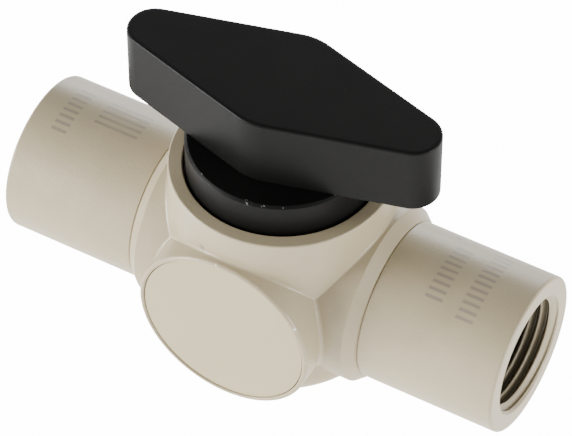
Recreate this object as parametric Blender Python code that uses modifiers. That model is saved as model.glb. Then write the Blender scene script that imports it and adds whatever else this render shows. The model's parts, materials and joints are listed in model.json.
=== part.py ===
"""Three way ball valve with threaded ports, for small plastic pipework.

X is the straight run (left port at -X, right port at +X), +Y is the third port, -Y is the closed
boss with its blank plug, and +Z is the stem and knob. The origin is the middle of the flat
underside, and the port axes cross the stem axis in the ball, AXIS_HEIGHT above it. Heights in the
profiles below are counted from that crossing. Metres throughout; MM turns millimetres into metres.
"""
import math

import bmesh
import bpy

MM = 0.001

# ---------------------------------------------------------------- driving dimensions, in metres
RUN_HALF_LENGTH = 37.0 * MM       # middle of the ball to the face of the left and right ports
BACK_PORT_LENGTH = 23.5 * MM      # middle of the ball to the face of the back port
TUBE_RADIUS = 11.0 * MM           # outside of the port tubes
END_EDGE = 0.5 * MM               # chamfer on the outer edge of each port
HUB_STEP = 1.4 * MM               # the middle of the run is thicker than its tubes by this
HUB_REACH = 0.65 * MM             # the hub's end chamfer starts this far out from the collar
HUB_CHAMFER = 1.4 * MM            # length of that chamfer along the run
COLLAR_RADIUS = 15.05 * MM        # round collar that stands up around the knob's skirt
COLLAR_WALL = 1.95 * MM           # wall of the collar around the skirt
RECESS_DEPTH = 3.1 * MM           # collar's top face down to the floor inside it
FOOT_DROP = 0.7 * MM              # the flat underside lies this far below the boss or the hub
BOTTOM_ROUNDING = 4.0 * MM        # rounding of the collar's lower edge
BOSS_REACH = 1.15 * MM            # the closed boss stands this far out from the collar
BOSS_LIP = 0.7 * MM               # thin rim around the plug
PLUG_LEDGE_WIDTH = 2.5 * MM       # ledge that the plug's flange is welded to
PLUG_FLANGE_THICKNESS = 2.4 * MM
PLUG_RECESS = 0.2 * MM            # the plug's face lies this far inside the rim
PLUG_SEAL_SECTION = 1.0 * MM
PLUG_GROOVE_WIDTH = 1.4 * MM
PLUG_GROOVE_DEPTH = 1.1 * MM
PLUG_CUP_GAP = 0.35 * MM          # plug's cup to the chamber wall
PLUG_CUP_LEAD = 1.1 * MM          # the cup starts this far in front of the side pockets

THREAD_MINOR_RADIUS = 7.475 * MM  # G 3/8 internal thread, minor diameter 14.95 mm
MOUTH_STEP = 0.975 * MM           # entrance chamfer, to just over the 16.66 mm major diameter
MOUTH_CHAMFER = 1.0 * MM
THREAD_DEPTH = 13.0 * MM          # depth of the threaded bore in the left and right ports
BACK_SHOULDER = 1.6 * MM          # wall between the back port's thread and its seat pocket
BORE_RADIUS = 5.0 * MM            # waterway through ball, seats and ports: nominal bore 10

BALL_WALL = 4.0 * MM              # waterway to the outside of the ball, at the port
BEND_INSIDE = 0.6 * MM            # inner radius of the bend in the ball's waterway
CHAMBER_CLEARANCE = 0.5 * MM      # ball to chamber wall
DOME_STEP = 0.1 * MM              # the round hollow is wider than the chamber's bore by this
SEAT_CLEARANCE = 0.3 * MM         # ball to seat face, and seat to pocket
SEAT_BORE_STEP = 0.2 * MM         # a seat's hole is wider than the waterway by this
SEAT_LIP = 1.1 * MM               # wall of a seat's nose
SEAT_FLANGE_STEP = 1.5 * MM       # nose to the edge of the flange
SEAT_STANDOFF = 0.9 * MM          # crown of the ball to the seat's flange, along the port
SEAT_FLANGE_THICKNESS = 2.0 * MM
BACKING_SECTION = 1.4 * MM        # O-ring cross section behind each seat
SEAL_GAP = 0.3 * MM               # an O-ring's gap to the walls of its groove
POCKET_OVERRUN = 2.5 * MM         # keeps a pocket's inner end clear of the hollow's widest ring

STEM_RADIUS = 4.0 * MM
STEM_FLANGE_STEP = 1.9 * MM
STEM_FLANGE_THICKNESS = 1.6 * MM
STEM_FLANGE_LIFT = 0.2 * MM       # chamber wall to the flange's underside
FLANGE_RECESS_GAP = 0.5 * MM
TANG_THICKNESS = 3.0 * MM
TANG_LENGTH = 8.0 * MM
TANG_DEPTH = 3.3 * MM             # below the stem's flange
STEM_SQUARE = 6.0 * MM            # across the flats
STEM_SHOULDER = 0.5 * MM          # slope from the round shaft to the square
STEM_TIP_STEP = 0.1 * MM          # the round tip stands inside the flats by this
STEM_TIP_LENGTH = 3.6 * MM
STEM_TIP_EDGE = 0.3 * MM
SNAP_GROOVE_DEPTH = 0.7 * MM
SNAP_GROOVE_WIDTH = 1.6 * MM
SNAP_WIRE = 0.9 * MM
SNAP_SPREAD = 0.15 * MM           # wire's middle line outside the stem's tip
SNAP_OPENING = 50.0               # degrees left open in the ring
RUNNING_GAP = 0.3 * MM            # between pieces that turn and pieces that stay
WASHER_THICKNESS = 0.6 * MM
STEM_SEAL_SECTION = 1.6 * MM
SPACER_THICKNESS = 0.8 * MM
NECK_WALL = 1.8 * MM              # tube in the collar that holds the stem seals
NECK_BORE_GAP = 0.4 * MM
LEDGE_THICKNESS = 1.2 * MM        # floor of the seal chamber, above the thrust washer
FLOOR_LIFT = 0.8 * MM             # floor inside the collar, above that ledge
GLAND_INSET = 0.2 * MM            # the gland's flange stands inside the neck by this
GLAND_FLANGE_THICKNESS = 1.0 * MM
GLAND_SPIGOT = 0.8 * MM
GLAND_TO_SQUARE = 0.2 * MM

SKIRT_GAP = 0.35 * MM             # skirt to collar bore
SKIRT_FLOOR_GAP = 0.4 * MM        # skirt to the floor inside the collar
SKIRT_WALL = 1.55 * MM
SKIRT_ROOF = 1.25 * MM            # thickness of the skirt's top
SKIRT_EDGE = 0.35 * MM
GRIP_HEIGHT = 10.3 * MM
GRIP_TIP_RADIUS = 3.67 * MM       # rounding at the two long ends of the grip
GRIP_TIP_CENTRE = 18.95 * MM      # stem axis to the middle of that rounding
GRIP_SIDE_RADIUS = 7.65 * MM      # rounding at the two broad sides
GRIP_SIDE_CENTRE = 1.07 * MM
GRIP_EDGE = 0.45 * MM
GRIP_SINK = 0.05 * MM             # grip and skirt run into each other by this much
GRIP_WALL = 1.8 * MM
GRIP_RIB = 1.6 * MM
GRIP_ROOF = 1.35 * MM             # grip's top face down to the socket for the stem's tip
KNOB_HUB_WALL = 1.3 * MM          # corner of the square socket to the outside of its hub
END_POCKET_GAP = 0.6 * MM         # skirt to the pockets in the grip's ends
MIDDLE_POCKET_GAP = 0.4 * MM      # skirt's inner wall to the pocket over it
STOP_HEIGHT = 2.6 * MM
STOP_HALF_ANGLE = 6.0             # degrees, rib in the collar
LUG_HALF_ANGLE = 8.0              # degrees, lug under the skirt
STOP_SPARE_ANGLE = 2.0            # degrees left between lug and rib at each limit
TURN = 90.0                       # degrees from one position to the other
LUG_ANGLE = 200.0                 # degrees, where the lug stands at rest

BODY_SEGMENTS = 40
SMALL_SEGMENTS = 24
DOME_SEGMENTS = 28                # unlike the others, so that no facet of it lies on another's
RING_SEGMENTS = 20
SEAL_SIDES = 6
MERGE = 0.00001
SPARE = 2.0 * MM                  # how far a cutter stands past the face that it cuts
JOIN = 0.2 * MM                   # how far two joined shapes run into each other

# ---------------------------------------------------------------- sizes that follow from them
BALL_RADIUS = BORE_RADIUS + BALL_WALL
CHAMBER_RADIUS = BALL_RADIUS + CHAMBER_CLEARANCE
DOME_RADIUS = CHAMBER_RADIUS + DOME_STEP
SEAT_BORE = BORE_RADIUS + SEAT_BORE_STEP
SEAT_NOSE_RADIUS = SEAT_BORE + SEAT_LIP
SEAT_FLANGE_RADIUS = SEAT_NOSE_RADIUS + SEAT_FLANGE_STEP
SEAT_FLANGE_START = BALL_RADIUS + SEAT_STANDOFF
SEAT_BACK = SEAT_FLANGE_START + SEAT_FLANGE_THICKNESS
POCKET_RADIUS = SEAT_FLANGE_RADIUS + SEAT_CLEARANCE
POCKET_START = DOME_RADIUS - POCKET_RADIUS + POCKET_OVERRUN
POCKET_DEPTH = SEAT_BACK + BACKING_SECTION + 2 * SEAL_GAP
MOUTH_RADIUS = THREAD_MINOR_RADIUS + MOUTH_STEP
BACK_THREAD_DEPTH = BACK_PORT_LENGTH - BACK_SHOULDER - POCKET_DEPTH

HUB_RADIUS = TUBE_RADIUS + HUB_STEP
HUB_HALF_LENGTH = COLLAR_RADIUS + HUB_REACH
HUB_END = HUB_HALF_LENGTH + HUB_CHAMFER
BOSS_FACE = COLLAR_RADIUS + BOSS_REACH
BOSS_INNER_RADIUS = CHAMBER_RADIUS + PLUG_LEDGE_WIDTH
BOSS_RADIUS = BOSS_INNER_RADIUS + BOSS_LIP
BODY_BOTTOM = max(HUB_RADIUS, BOSS_RADIUS) + FOOT_DROP
AXIS_HEIGHT = BODY_BOTTOM
PLUG_FACE = BOSS_FACE - PLUG_RECESS
PLUG_FLANGE_BACK = PLUG_FACE - PLUG_FLANGE_THICKNESS
PLUG_LEDGE = PLUG_FLANGE_BACK - SEAT_CLEARANCE
PLUG_RADIUS = BOSS_INNER_RADIUS - SEAT_CLEARANCE
PLUG_CUP_RADIUS = CHAMBER_RADIUS - PLUG_CUP_GAP
PLUG_CUP_START = POCKET_RADIUS + PLUG_CUP_LEAD
PLUG_SEAL_RADIUS = (PLUG_CUP_RADIUS + BOSS_INNER_RADIUS) / 2

STEM_FLANGE_RADIUS = STEM_RADIUS + STEM_FLANGE_STEP
STEM_FLANGE_BOTTOM = CHAMBER_RADIUS + STEM_FLANGE_LIFT
STEM_FLANGE_TOP = STEM_FLANGE_BOTTOM + STEM_FLANGE_THICKNESS
TANG_BOTTOM = STEM_FLANGE_BOTTOM - TANG_DEPTH
SLOT_BOTTOM = TANG_BOTTOM - RUNNING_GAP
WASHER_BOTTOM = STEM_FLANGE_TOP + RUNNING_GAP
FLANGE_CEILING = WASHER_BOTTOM + WASHER_THICKNESS + RUNNING_GAP
FLANGE_RECESS_RADIUS = STEM_FLANGE_RADIUS + FLANGE_RECESS_GAP
NECK_LEDGE = FLANGE_CEILING + LEDGE_THICKNESS
NECK_BORE = STEM_RADIUS + NECK_BORE_GAP
SEAL_CHAMBER_RADIUS = STEM_RADIUS + STEM_SEAL_SECTION + 2 * SEAL_GAP
NECK_RADIUS = SEAL_CHAMBER_RADIUS + NECK_WALL
LOWER_SEAL = NECK_LEDGE + SEAL_GAP + STEM_SEAL_SECTION / 2
SPACER_BOTTOM = LOWER_SEAL + STEM_SEAL_SECTION / 2 + SEAL_GAP
UPPER_SEAL = SPACER_BOTTOM + SPACER_THICKNESS + SEAL_GAP + STEM_SEAL_SECTION / 2
GLAND_BOTTOM = UPPER_SEAL + STEM_SEAL_SECTION / 2 + SEAL_GAP
NECK_TOP = GLAND_BOTTOM + GLAND_SPIGOT
GLAND_FLANGE_BOTTOM = NECK_TOP + SEAL_GAP
GLAND_FLANGE_RADIUS = NECK_RADIUS - GLAND_INSET
GLAND_TOP = GLAND_FLANGE_BOTTOM + GLAND_FLANGE_THICKNESS

RECESS_FLOOR = NECK_LEDGE + FLOOR_LIFT
COLLAR_TOP = RECESS_FLOOR + RECESS_DEPTH
COLLAR_BORE = COLLAR_RADIUS - COLLAR_WALL
SKIRT_RADIUS = COLLAR_BORE - SKIRT_GAP
SKIRT_INNER = SKIRT_RADIUS - SKIRT_WALL
SKIRT_BOTTOM = RECESS_FLOOR + SKIRT_FLOOR_GAP
SKIRT_CEILING = GLAND_TOP + RUNNING_GAP
SKIRT_TOP = SKIRT_CEILING + SKIRT_ROOF
GRIP_TOP = SKIRT_TOP + GRIP_HEIGHT
GRIP_CEILING = GRIP_TOP - GRIP_WALL

STEM_TIP_RADIUS = STEM_SQUARE / 2 - STEM_TIP_STEP
SQUARE_BOTTOM = GLAND_TOP + GLAND_TO_SQUARE
TIP_TOP = GRIP_TOP - GRIP_ROOF - RUNNING_GAP
SQUARE_TOP = TIP_TOP - STEM_TIP_LENGTH
SNAP_HEIGHT = SQUARE_TOP + STEM_TIP_LENGTH / 2
SNAP_GROOVE_RADIUS = STEM_TIP_RADIUS - SNAP_GROOVE_DEPTH
SNAP_RING_RADIUS = STEM_TIP_RADIUS + SNAP_SPREAD
SOCKET_HALF = STEM_SQUARE / 2 + RUNNING_GAP
SOCKET_TIP_RADIUS = STEM_TIP_RADIUS + RUNNING_GAP
KNOB_HUB_RADIUS = SOCKET_HALF * math.sqrt(2) + KNOB_HUB_WALL

# ---------------------------------------------------------------- collections and materials
for leftover in list(bpy.data.objects):
    bpy.data.objects.remove(leftover, do_unlink=True)


def new_collection(name):
    collection = bpy.data.collections.new(name)
    bpy.context.scene.collection.children.link(collection)
    return collection


PARTS = new_collection("three_way_valve")
CUTTERS = new_collection("cutters")


def material(name, colour, roughness, metallic=0.0):
    made = bpy.data.materials.new(name)
    made.use_nodes = True
    shader = made.node_tree.nodes["Principled BSDF"]
    shader.inputs["Base Color"].default_value = (*colour, 1.0)
    shader.inputs["Roughness"].default_value = roughness
    shader.inputs["Metallic"].default_value = metallic
    return made


BEIGE_PLASTIC = material("beige_plastic", (0.52, 0.47, 0.38), 0.5)
PLUG_PLASTIC = material("plug_plastic", (0.55, 0.50, 0.41), 0.5)
BLACK_PLASTIC = material("black_plastic", (0.012, 0.012, 0.012), 0.4)
WHITE_FLUOROPOLYMER = material("white_fluoropolymer", (0.85, 0.85, 0.82), 0.35)
SEAL_RUBBER = material("seal_rubber", (0.03, 0.03, 0.03), 0.6)
BALL_PLASTIC = material("ball_plastic", (0.58, 0.55, 0.47), 0.2)
STEM_PLASTIC = material("stem_plastic", (0.60, 0.57, 0.50), 0.3)
GLAND_PLASTIC = material("gland_plastic", (0.20, 0.20, 0.20), 0.45)
SPRING_STEEL = material("spring_steel", (0.60, 0.60, 0.62), 0.25, 1.0)


# ---------------------------------------------------------------- modelling helpers
def place(thing, is_cutter):
    """Put an object in its collection and lift it from the port axes to its place in the world."""
    thing.location.z += AXIS_HEIGHT
    (CUTTERS if is_cutter else PARTS).objects.link(thing)
    if is_cutter:
        thing.hide_render = True
        thing.display_type = "WIRE"
    return thing


def finish(thing, finish_material):
    """Give a part its material."""
    thing.data.materials.clear()
    thing.data.materials.append(finish_material)
    return thing


TURN_TO = {
    "+Z": (0.0, 0.0, 0.0),
    "+X": (0.0, math.pi / 2, 0.0),
    "-X": (0.0, -math.pi / 2, 0.0),
    "+Y": (-math.pi / 2, 0.0, 0.0),
    "-Y": (math.pi / 2, 0.0, 0.0),
}


def turned(name, profile, axis="+Z", segments=BODY_SEGMENTS, closed=False, cutter=False):
    """Turn a profile of (radius, height) points, listed down the outer side, about an axis."""
    mesh = bpy.data.meshes.new(name)
    build = bmesh.new()
    verts = [build.verts.new((radius, 0.0, height)) for radius, height in profile]
    for first, second in zip(verts, verts[1:]):
        build.edges.new((first, second))
    if closed:
        build.edges.new((verts[-1], verts[0]))
    build.to_mesh(mesh)
    build.free()
    thing = bpy.data.objects.new(name, mesh)
    screw = thing.modifiers.new("turn", "SCREW")
    screw.axis = "Z"
    screw.angle = 2 * math.pi
    screw.steps = segments
    screw.render_steps = segments
    screw.use_merge_vertices = True
    screw.merge_threshold = MERGE
    thing.rotation_euler = TURN_TO[axis]
    return place(thing, cutter)


def rod(name, radius, bottom, top, axis="+Z", segments=BODY_SEGMENTS):
    """A plain cylinder between two heights on an axis, to cut or join with."""
    profile = [(0.0, top), (radius, top), (radius, bottom), (0.0, bottom)]
    return turned(name, profile, axis, segments, cutter=True)


def block(name, low, high):
    """A box between two corners, to cut or join with."""
    mesh = bpy.data.meshes.new(name)
    build = bmesh.new()
    bmesh.ops.create_cube(build, size=1.0)
    size = [b - a for a, b in zip(low, high)]
    middle = [(a + b) / 2 for a, b in zip(low, high)]
    bmesh.ops.scale(build, vec=size, verts=build.verts)
    bmesh.ops.translate(build, vec=middle, verts=build.verts)
    build.to_mesh(mesh)
    build.free()
    return place(bpy.data.objects.new(name, mesh), True)


def combine(thing, other, operation):
    """Boolean one object with another."""
    step = thing.modifiers.new(f"{operation.lower()}_{other.name}", "BOOLEAN")
    step.operation = operation
    step.object = other
    step.solver = "EXACT"
    return thing


def o_ring(name, middle_radius, section, height, axis="+Z"):
    """A round rubber ring: a small circle turned about the axis."""
    circle = []
    for index in range(SEAL_SIDES):
        angle = -2 * math.pi * index / SEAL_SIDES
        across = section / 2 * math.cos(angle)
        circle.append((middle_radius + across, height + section / 2 * math.sin(angle)))
    ring = turned(name, circle, axis, RING_SEGMENTS, closed=True)
    return finish(ring, SEAL_RUBBER)


def ring(name, inner, outer, bottom, top, finish_material, axis="+Z"):
    """A flat washer or spacer."""
    profile = [(outer, top), (outer, bottom), (inner, bottom), (inner, top)]
    return finish(turned(name, profile, axis, SMALL_SEGMENTS, closed=True), finish_material)


def lozenge(tip_centre, tip_radius, side_centre, side_radius, tip_steps=10, side_steps=6):
    """Outline of four arcs joined by their common tangents: the shape of the grip from above."""
    reach = math.hypot(tip_centre, side_centre)
    switch = math.acos((side_radius - tip_radius) / reach) - math.atan2(side_centre, tip_centre)
    arcs = (
        (tip_centre, 0.0, tip_radius, -switch, switch, tip_steps),
        (0.0, side_centre, side_radius, switch, math.pi - switch, side_steps),
        (-tip_centre, 0.0, tip_radius, math.pi - switch, math.pi + switch, tip_steps),
        (0.0, -side_centre, side_radius, math.pi + switch, 2 * math.pi - switch, side_steps),
    )
    points = []
    for x, y, radius, start, end, steps in arcs:
        for index in range(steps + 1):
            angle = start + (end - start) * index / steps
            points.append((x + radius * math.cos(angle), y + radius * math.sin(angle)))
    return points


def mesh_from_curve(name, curve, height, cutter):
    """Turn a curve object into a closed mesh object, because a curve takes no Boolean."""
    drawn = bpy.data.objects.new(f"{name}_outline", curve)
    drawn.location.z = height
    PARTS.objects.link(drawn)
    bpy.context.view_layer.update()
    evaluated = drawn.evaluated_get(bpy.context.evaluated_depsgraph_get())
    mesh = bpy.data.meshes.new_from_object(evaluated)
    place_matrix = drawn.matrix_world.copy()
    bpy.data.objects.remove(drawn, do_unlink=True)
    weld = bmesh.new()
    weld.from_mesh(mesh)
    bmesh.ops.remove_doubles(weld, verts=weld.verts, dist=MERGE / 10)
    bmesh.ops.recalc_face_normals(weld, faces=weld.faces)
    weld.to_mesh(mesh)
    weld.free()
    mesh.name = name
    thing = bpy.data.objects.new(name, mesh)
    thing.matrix_world = place_matrix
    return place(thing, cutter)


def extruded(name, outline, bottom, top, cutter):
    """A flat outline given thickness: a filled 2D curve made a closed mesh."""
    curve = bpy.data.curves.new(name, "CURVE")
    curve.dimensions = "2D"
    curve.fill_mode = "BOTH"
    curve.extrude = (top - bottom) / 2
    spline = curve.splines.new("POLY")
    spline.points.add(len(outline) - 1)
    spline.use_cyclic_u = True
    for point, (x, y) in zip(spline.points, outline):
        point.co = (x, y, 0.0, 1.0)
    return mesh_from_curve(name, curve, (top + bottom) / 2, cutter)


def sector(name, inner, outer, middle_angle, half_angle, bottom, top):
    """A block bent round the stem axis, between two radii and two angles in degrees."""
    outline = []
    for radius, direction in ((outer, 1), (inner, -1)):
        for index in range(5):
            angle = math.radians(middle_angle + direction * half_angle * (index / 2 - 1))
            outline.append((radius * math.cos(angle), radius * math.sin(angle)))
    return extruded(name, outline, bottom, top, cutter=True)


# ---------------------------------------------------------------- valve body
def bottom_rounding():
    """Points of the rounded lower edge of the collar, from its wall in to the flat underside."""
    points = []
    for index in range(5):
        angle = math.pi / 2 * index / 4
        radius = COLLAR_RADIUS - BOTTOM_ROUNDING * (1 - math.cos(angle))
        height = -BODY_BOTTOM + BOTTOM_ROUNDING * (1 - math.sin(angle))
        points.append((radius, height))
    return points


def port_end(length):
    """Outer side of one port from its face in to the hub, as a turned profile."""
    return [
        (0.0, length),
        (TUBE_RADIUS - END_EDGE, length),
        (TUBE_RADIUS, length - END_EDGE),
        (TUBE_RADIUS, HUB_END),
        (HUB_RADIUS, HUB_HALF_LENGTH),
    ]


def port_cutter(name, axis, length, thread_depth):
    """Everything cut along one port: mouth, thread bore, waterway and seat pocket."""
    thread_end = length - thread_depth
    cone = (THREAD_MINOR_RADIUS - BORE_RADIUS) / 2
    profile = [
        (0.0, length + SPARE),
        (MOUTH_RADIUS, length + SPARE),
        (MOUTH_RADIUS, length),
        (THREAD_MINOR_RADIUS, length - MOUTH_CHAMFER),
        (THREAD_MINOR_RADIUS, thread_end),
    ]
    if thread_end - cone > POCKET_DEPTH + MERGE:
        profile.append((BORE_RADIUS, thread_end - cone))
    else:
        profile.append((BORE_RADIUS, thread_end))
    profile += [
        (BORE_RADIUS, POCKET_DEPTH),
        (POCKET_RADIUS, POCKET_DEPTH),
        (POCKET_RADIUS, POCKET_START),
        (0.0, POCKET_START),
    ]
    return turned(name, profile, axis, BODY_SEGMENTS, cutter=True)


def dome(rings=12):
    """Profile of the round hollow that the ball turns in."""
    points = [(0.0, DOME_RADIUS)]
    for index in range(1, rings):
        angle = math.pi * index / rings
        points.append((DOME_RADIUS * math.sin(angle), DOME_RADIUS * math.cos(angle)))
    return points + [(0.0, -DOME_RADIUS)]


def make_body():
    half = port_end(RUN_HALF_LENGTH)
    mirrored = [(radius, -height) for radius, height in reversed(half)]
    body = turned("valve_body", half + mirrored, "+X")

    collar_profile = [(0.0, COLLAR_TOP), (COLLAR_RADIUS, COLLAR_TOP)]
    collar_profile += bottom_rounding() + [(0.0, -BODY_BOTTOM)]
    combine(body, turned("collar_form", collar_profile, cutter=True), "UNION")
    combine(body, rod("boss_form", BOSS_RADIUS, -SPARE, BOSS_FACE, "-Y"), "UNION")
    back_profile = port_end(BACK_PORT_LENGTH) + [(HUB_RADIUS, 0.0), (0.0, 0.0)]
    combine(body, turned("back_port_form", back_profile, "+Y", cutter=True), "UNION")

    combine(body, turned("dome_cut", dome(), segments=DOME_SEGMENTS, cutter=True), "DIFFERENCE")

    groove_inner = PLUG_SEAL_RADIUS - PLUG_GROOVE_WIDTH / 2
    groove_outer = PLUG_SEAL_RADIUS + PLUG_GROOVE_WIDTH / 2
    front_profile = [
        (0.0, BOSS_FACE + SPARE),
        (BOSS_INNER_RADIUS, BOSS_FACE + SPARE),
        (BOSS_INNER_RADIUS, PLUG_LEDGE),
        (groove_outer, PLUG_LEDGE),
        (groove_outer, PLUG_LEDGE - PLUG_GROOVE_DEPTH),
        (groove_inner, PLUG_LEDGE - PLUG_GROOVE_DEPTH),
        (groove_inner, PLUG_LEDGE),
        (CHAMBER_RADIUS, PLUG_LEDGE),
        (CHAMBER_RADIUS, SPARE),
        (0.0, SPARE),
    ]
    combine(body, turned("chamber_cut", front_profile, "-Y", cutter=True), "DIFFERENCE")

    for side, axis, length, depth in (
        ("right", "+X", RUN_HALF_LENGTH, THREAD_DEPTH),
        ("left", "-X", RUN_HALF_LENGTH, THREAD_DEPTH),
        ("back", "+Y", BACK_PORT_LENGTH, BACK_THREAD_DEPTH),
    ):
        combine(body, port_cutter(f"{side}_port_cut", axis, length, depth), "DIFFERENCE")

    neck_profile = [
        (0.0, COLLAR_TOP + SPARE),
        (COLLAR_BORE, COLLAR_TOP + SPARE),
        (COLLAR_BORE, RECESS_FLOOR),
        (SEAL_CHAMBER_RADIUS, RECESS_FLOOR),
        (SEAL_CHAMBER_RADIUS, NECK_LEDGE),
        (NECK_BORE, NECK_LEDGE),
        (NECK_BORE, FLANGE_CEILING),
        (FLANGE_RECESS_RADIUS, FLANGE_CEILING),
        (FLANGE_RECESS_RADIUS, STEM_FLANGE_BOTTOM - SPARE),
        (0.0, STEM_FLANGE_BOTTOM - SPARE),
    ]
    combine(body, turned("neck_cut", neck_profile, cutter=True), "DIFFERENCE")

    neck = [
        (NECK_RADIUS, NECK_TOP),
        (NECK_RADIUS, RECESS_FLOOR - JOIN),
        (SEAL_CHAMBER_RADIUS, RECESS_FLOOR - JOIN),
        (SEAL_CHAMBER_RADIUS, NECK_TOP),
    ]
    combine(body, turned("neck_form", neck, closed=True, cutter=True), "UNION")
    rib_reach = LUG_HALF_ANGLE + STOP_HALF_ANGLE + STOP_SPARE_ANGLE
    for name, angle in (
        ("stop_rib_low", LUG_ANGLE - rib_reach),
        ("stop_rib_high", LUG_ANGLE + TURN + rib_reach),
    ):
        rib = sector(
            name,
            NECK_RADIUS - JOIN,
            SKIRT_INNER - RUNNING_GAP,
            angle,
            STOP_HALF_ANGLE,
            RECESS_FLOOR - JOIN,
            RECESS_FLOOR + STOP_HEIGHT,
        )
        combine(body, rib, "UNION")
    return finish(body, BEIGE_PLASTIC)


# ---------------------------------------------------------------- plug, ball and seats
def make_front_plug():
    profile = [
        (0.0, PLUG_FACE),
        (PLUG_RADIUS, PLUG_FACE),
        (PLUG_RADIUS, PLUG_FLANGE_BACK),
        (PLUG_CUP_RADIUS, PLUG_FLANGE_BACK),
        (PLUG_CUP_RADIUS, PLUG_CUP_START),
        (POCKET_RADIUS, PLUG_CUP_START),
        (POCKET_RADIUS, POCKET_DEPTH),
        (0.0, POCKET_DEPTH),
    ]
    finish(turned("front_plug", profile, "-Y"), PLUG_PLASTIC)
    seal_height = PLUG_LEDGE - PLUG_GROOVE_DEPTH / 2
    o_ring("front_plug_seal", PLUG_SEAL_RADIUS, PLUG_SEAL_SECTION, seal_height, "-Y")


def make_seats():
    nose_distance = BALL_RADIUS + SEAT_CLEARANCE
    backing_height = SEAT_BACK + SEAL_GAP + BACKING_SECTION / 2
    backing_radius = POCKET_RADIUS - SEAL_GAP - BACKING_SECTION / 2
    for side, axis in (("left", "-X"), ("right", "+X"), ("back", "+Y"), ("front", "-Y")):
        profile = [
            (SEAT_FLANGE_RADIUS, SEAT_BACK),
            (SEAT_FLANGE_RADIUS, SEAT_FLANGE_START),
            (SEAT_NOSE_RADIUS, SEAT_FLANGE_START),
            (SEAT_NOSE_RADIUS, math.sqrt(nose_distance**2 - SEAT_NOSE_RADIUS**2)),
            (SEAT_BORE, math.sqrt(nose_distance**2 - SEAT_BORE**2)),
            (SEAT_BORE, SEAT_BACK),
        ]
        seat = turned(f"{side}_seat_ring", profile, axis, SMALL_SEGMENTS, closed=True)
        finish(seat, WHITE_FLUOROPOLYMER)
        o_ring(f"{side}_seat_backing_ring", backing_radius, BACKING_SECTION, backing_height, axis)


def elbow_cutter(name):
    """The L-shaped waterway: a round tube that bends from the right port to the back port."""
    curve = bpy.data.curves.new(name, "CURVE")
    curve.dimensions = "3D"
    curve.bevel_depth = BORE_RADIUS
    curve.bevel_resolution = 6
    curve.use_fill_caps = True
    bend = BORE_RADIUS + BEND_INSIDE
    reach = BALL_RADIUS + SPARE
    path = [(reach, 0.0)]
    bend_steps = 8
    for index in range(bend_steps + 1):
        angle = -math.pi / 2 - math.pi / 2 * index / bend_steps
        path.append((bend + bend * math.cos(angle), bend + bend * math.sin(angle)))
    path.append((0.0, reach))
    spline = curve.splines.new("POLY")
    spline.points.add(len(path) - 1)
    for point, (x, y) in zip(spline.points, path):
        point.co = (x, y, 0.0, 1.0)
    return mesh_from_curve(name, curve, 0.0, True)


def make_ball():
    mesh = bpy.data.meshes.new("ball")
    build = bmesh.new()
    bmesh.ops.create_uvsphere(build, u_segments=32, v_segments=16, radius=BALL_RADIUS)
    build.to_mesh(mesh)
    build.free()
    ball = place(bpy.data.objects.new("ball", mesh), False)

    combine(ball, elbow_cutter("ball_bore"), "DIFFERENCE")

    slot_half_length = TANG_LENGTH / 2 + RUNNING_GAP
    slot_half_width = TANG_THICKNESS / 2 + RUNNING_GAP
    slot = block(
        "ball_slot",
        (-slot_half_length, -slot_half_width, SLOT_BOTTOM),
        (slot_half_length, slot_half_width, BALL_RADIUS + SPARE),
    )
    combine(ball, slot, "DIFFERENCE")
    return finish(ball, BALL_PLASTIC)


# ---------------------------------------------------------------- stem and its seals
def make_stem():
    profile = [
        (0.0, TIP_TOP),
        (STEM_TIP_RADIUS - STEM_TIP_EDGE, TIP_TOP),
        (STEM_TIP_RADIUS, TIP_TOP - STEM_TIP_EDGE),
        (STEM_TIP_RADIUS, SNAP_HEIGHT + SNAP_GROOVE_WIDTH / 2),
        (SNAP_GROOVE_RADIUS, SNAP_HEIGHT + SNAP_GROOVE_WIDTH / 2),
        (SNAP_GROOVE_RADIUS, SNAP_HEIGHT - SNAP_GROOVE_WIDTH / 2),
        (STEM_TIP_RADIUS, SNAP_HEIGHT - SNAP_GROOVE_WIDTH / 2),
        (STEM_TIP_RADIUS, SQUARE_BOTTOM),
        (STEM_RADIUS, SQUARE_BOTTOM - STEM_SHOULDER),
        (STEM_RADIUS, STEM_FLANGE_TOP),
        (STEM_FLANGE_RADIUS, STEM_FLANGE_TOP),
        (STEM_FLANGE_RADIUS, STEM_FLANGE_BOTTOM),
        (0.0, STEM_FLANGE_BOTTOM),
    ]
    stem = turned("stem", profile, segments=SMALL_SEGMENTS)
    half = STEM_SQUARE / 2
    square = block("stem_square", (-half, -half, SQUARE_BOTTOM - JOIN), (half, half, SQUARE_TOP))
    combine(stem, square, "UNION")
    tang = block(
        "stem_tang",
        (-TANG_LENGTH / 2, -TANG_THICKNESS / 2, TANG_BOTTOM),
        (TANG_LENGTH / 2, TANG_THICKNESS / 2, STEM_FLANGE_BOTTOM + JOIN),
    )
    combine(stem, tang, "UNION")
    return finish(stem, STEM_PLASTIC)


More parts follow.
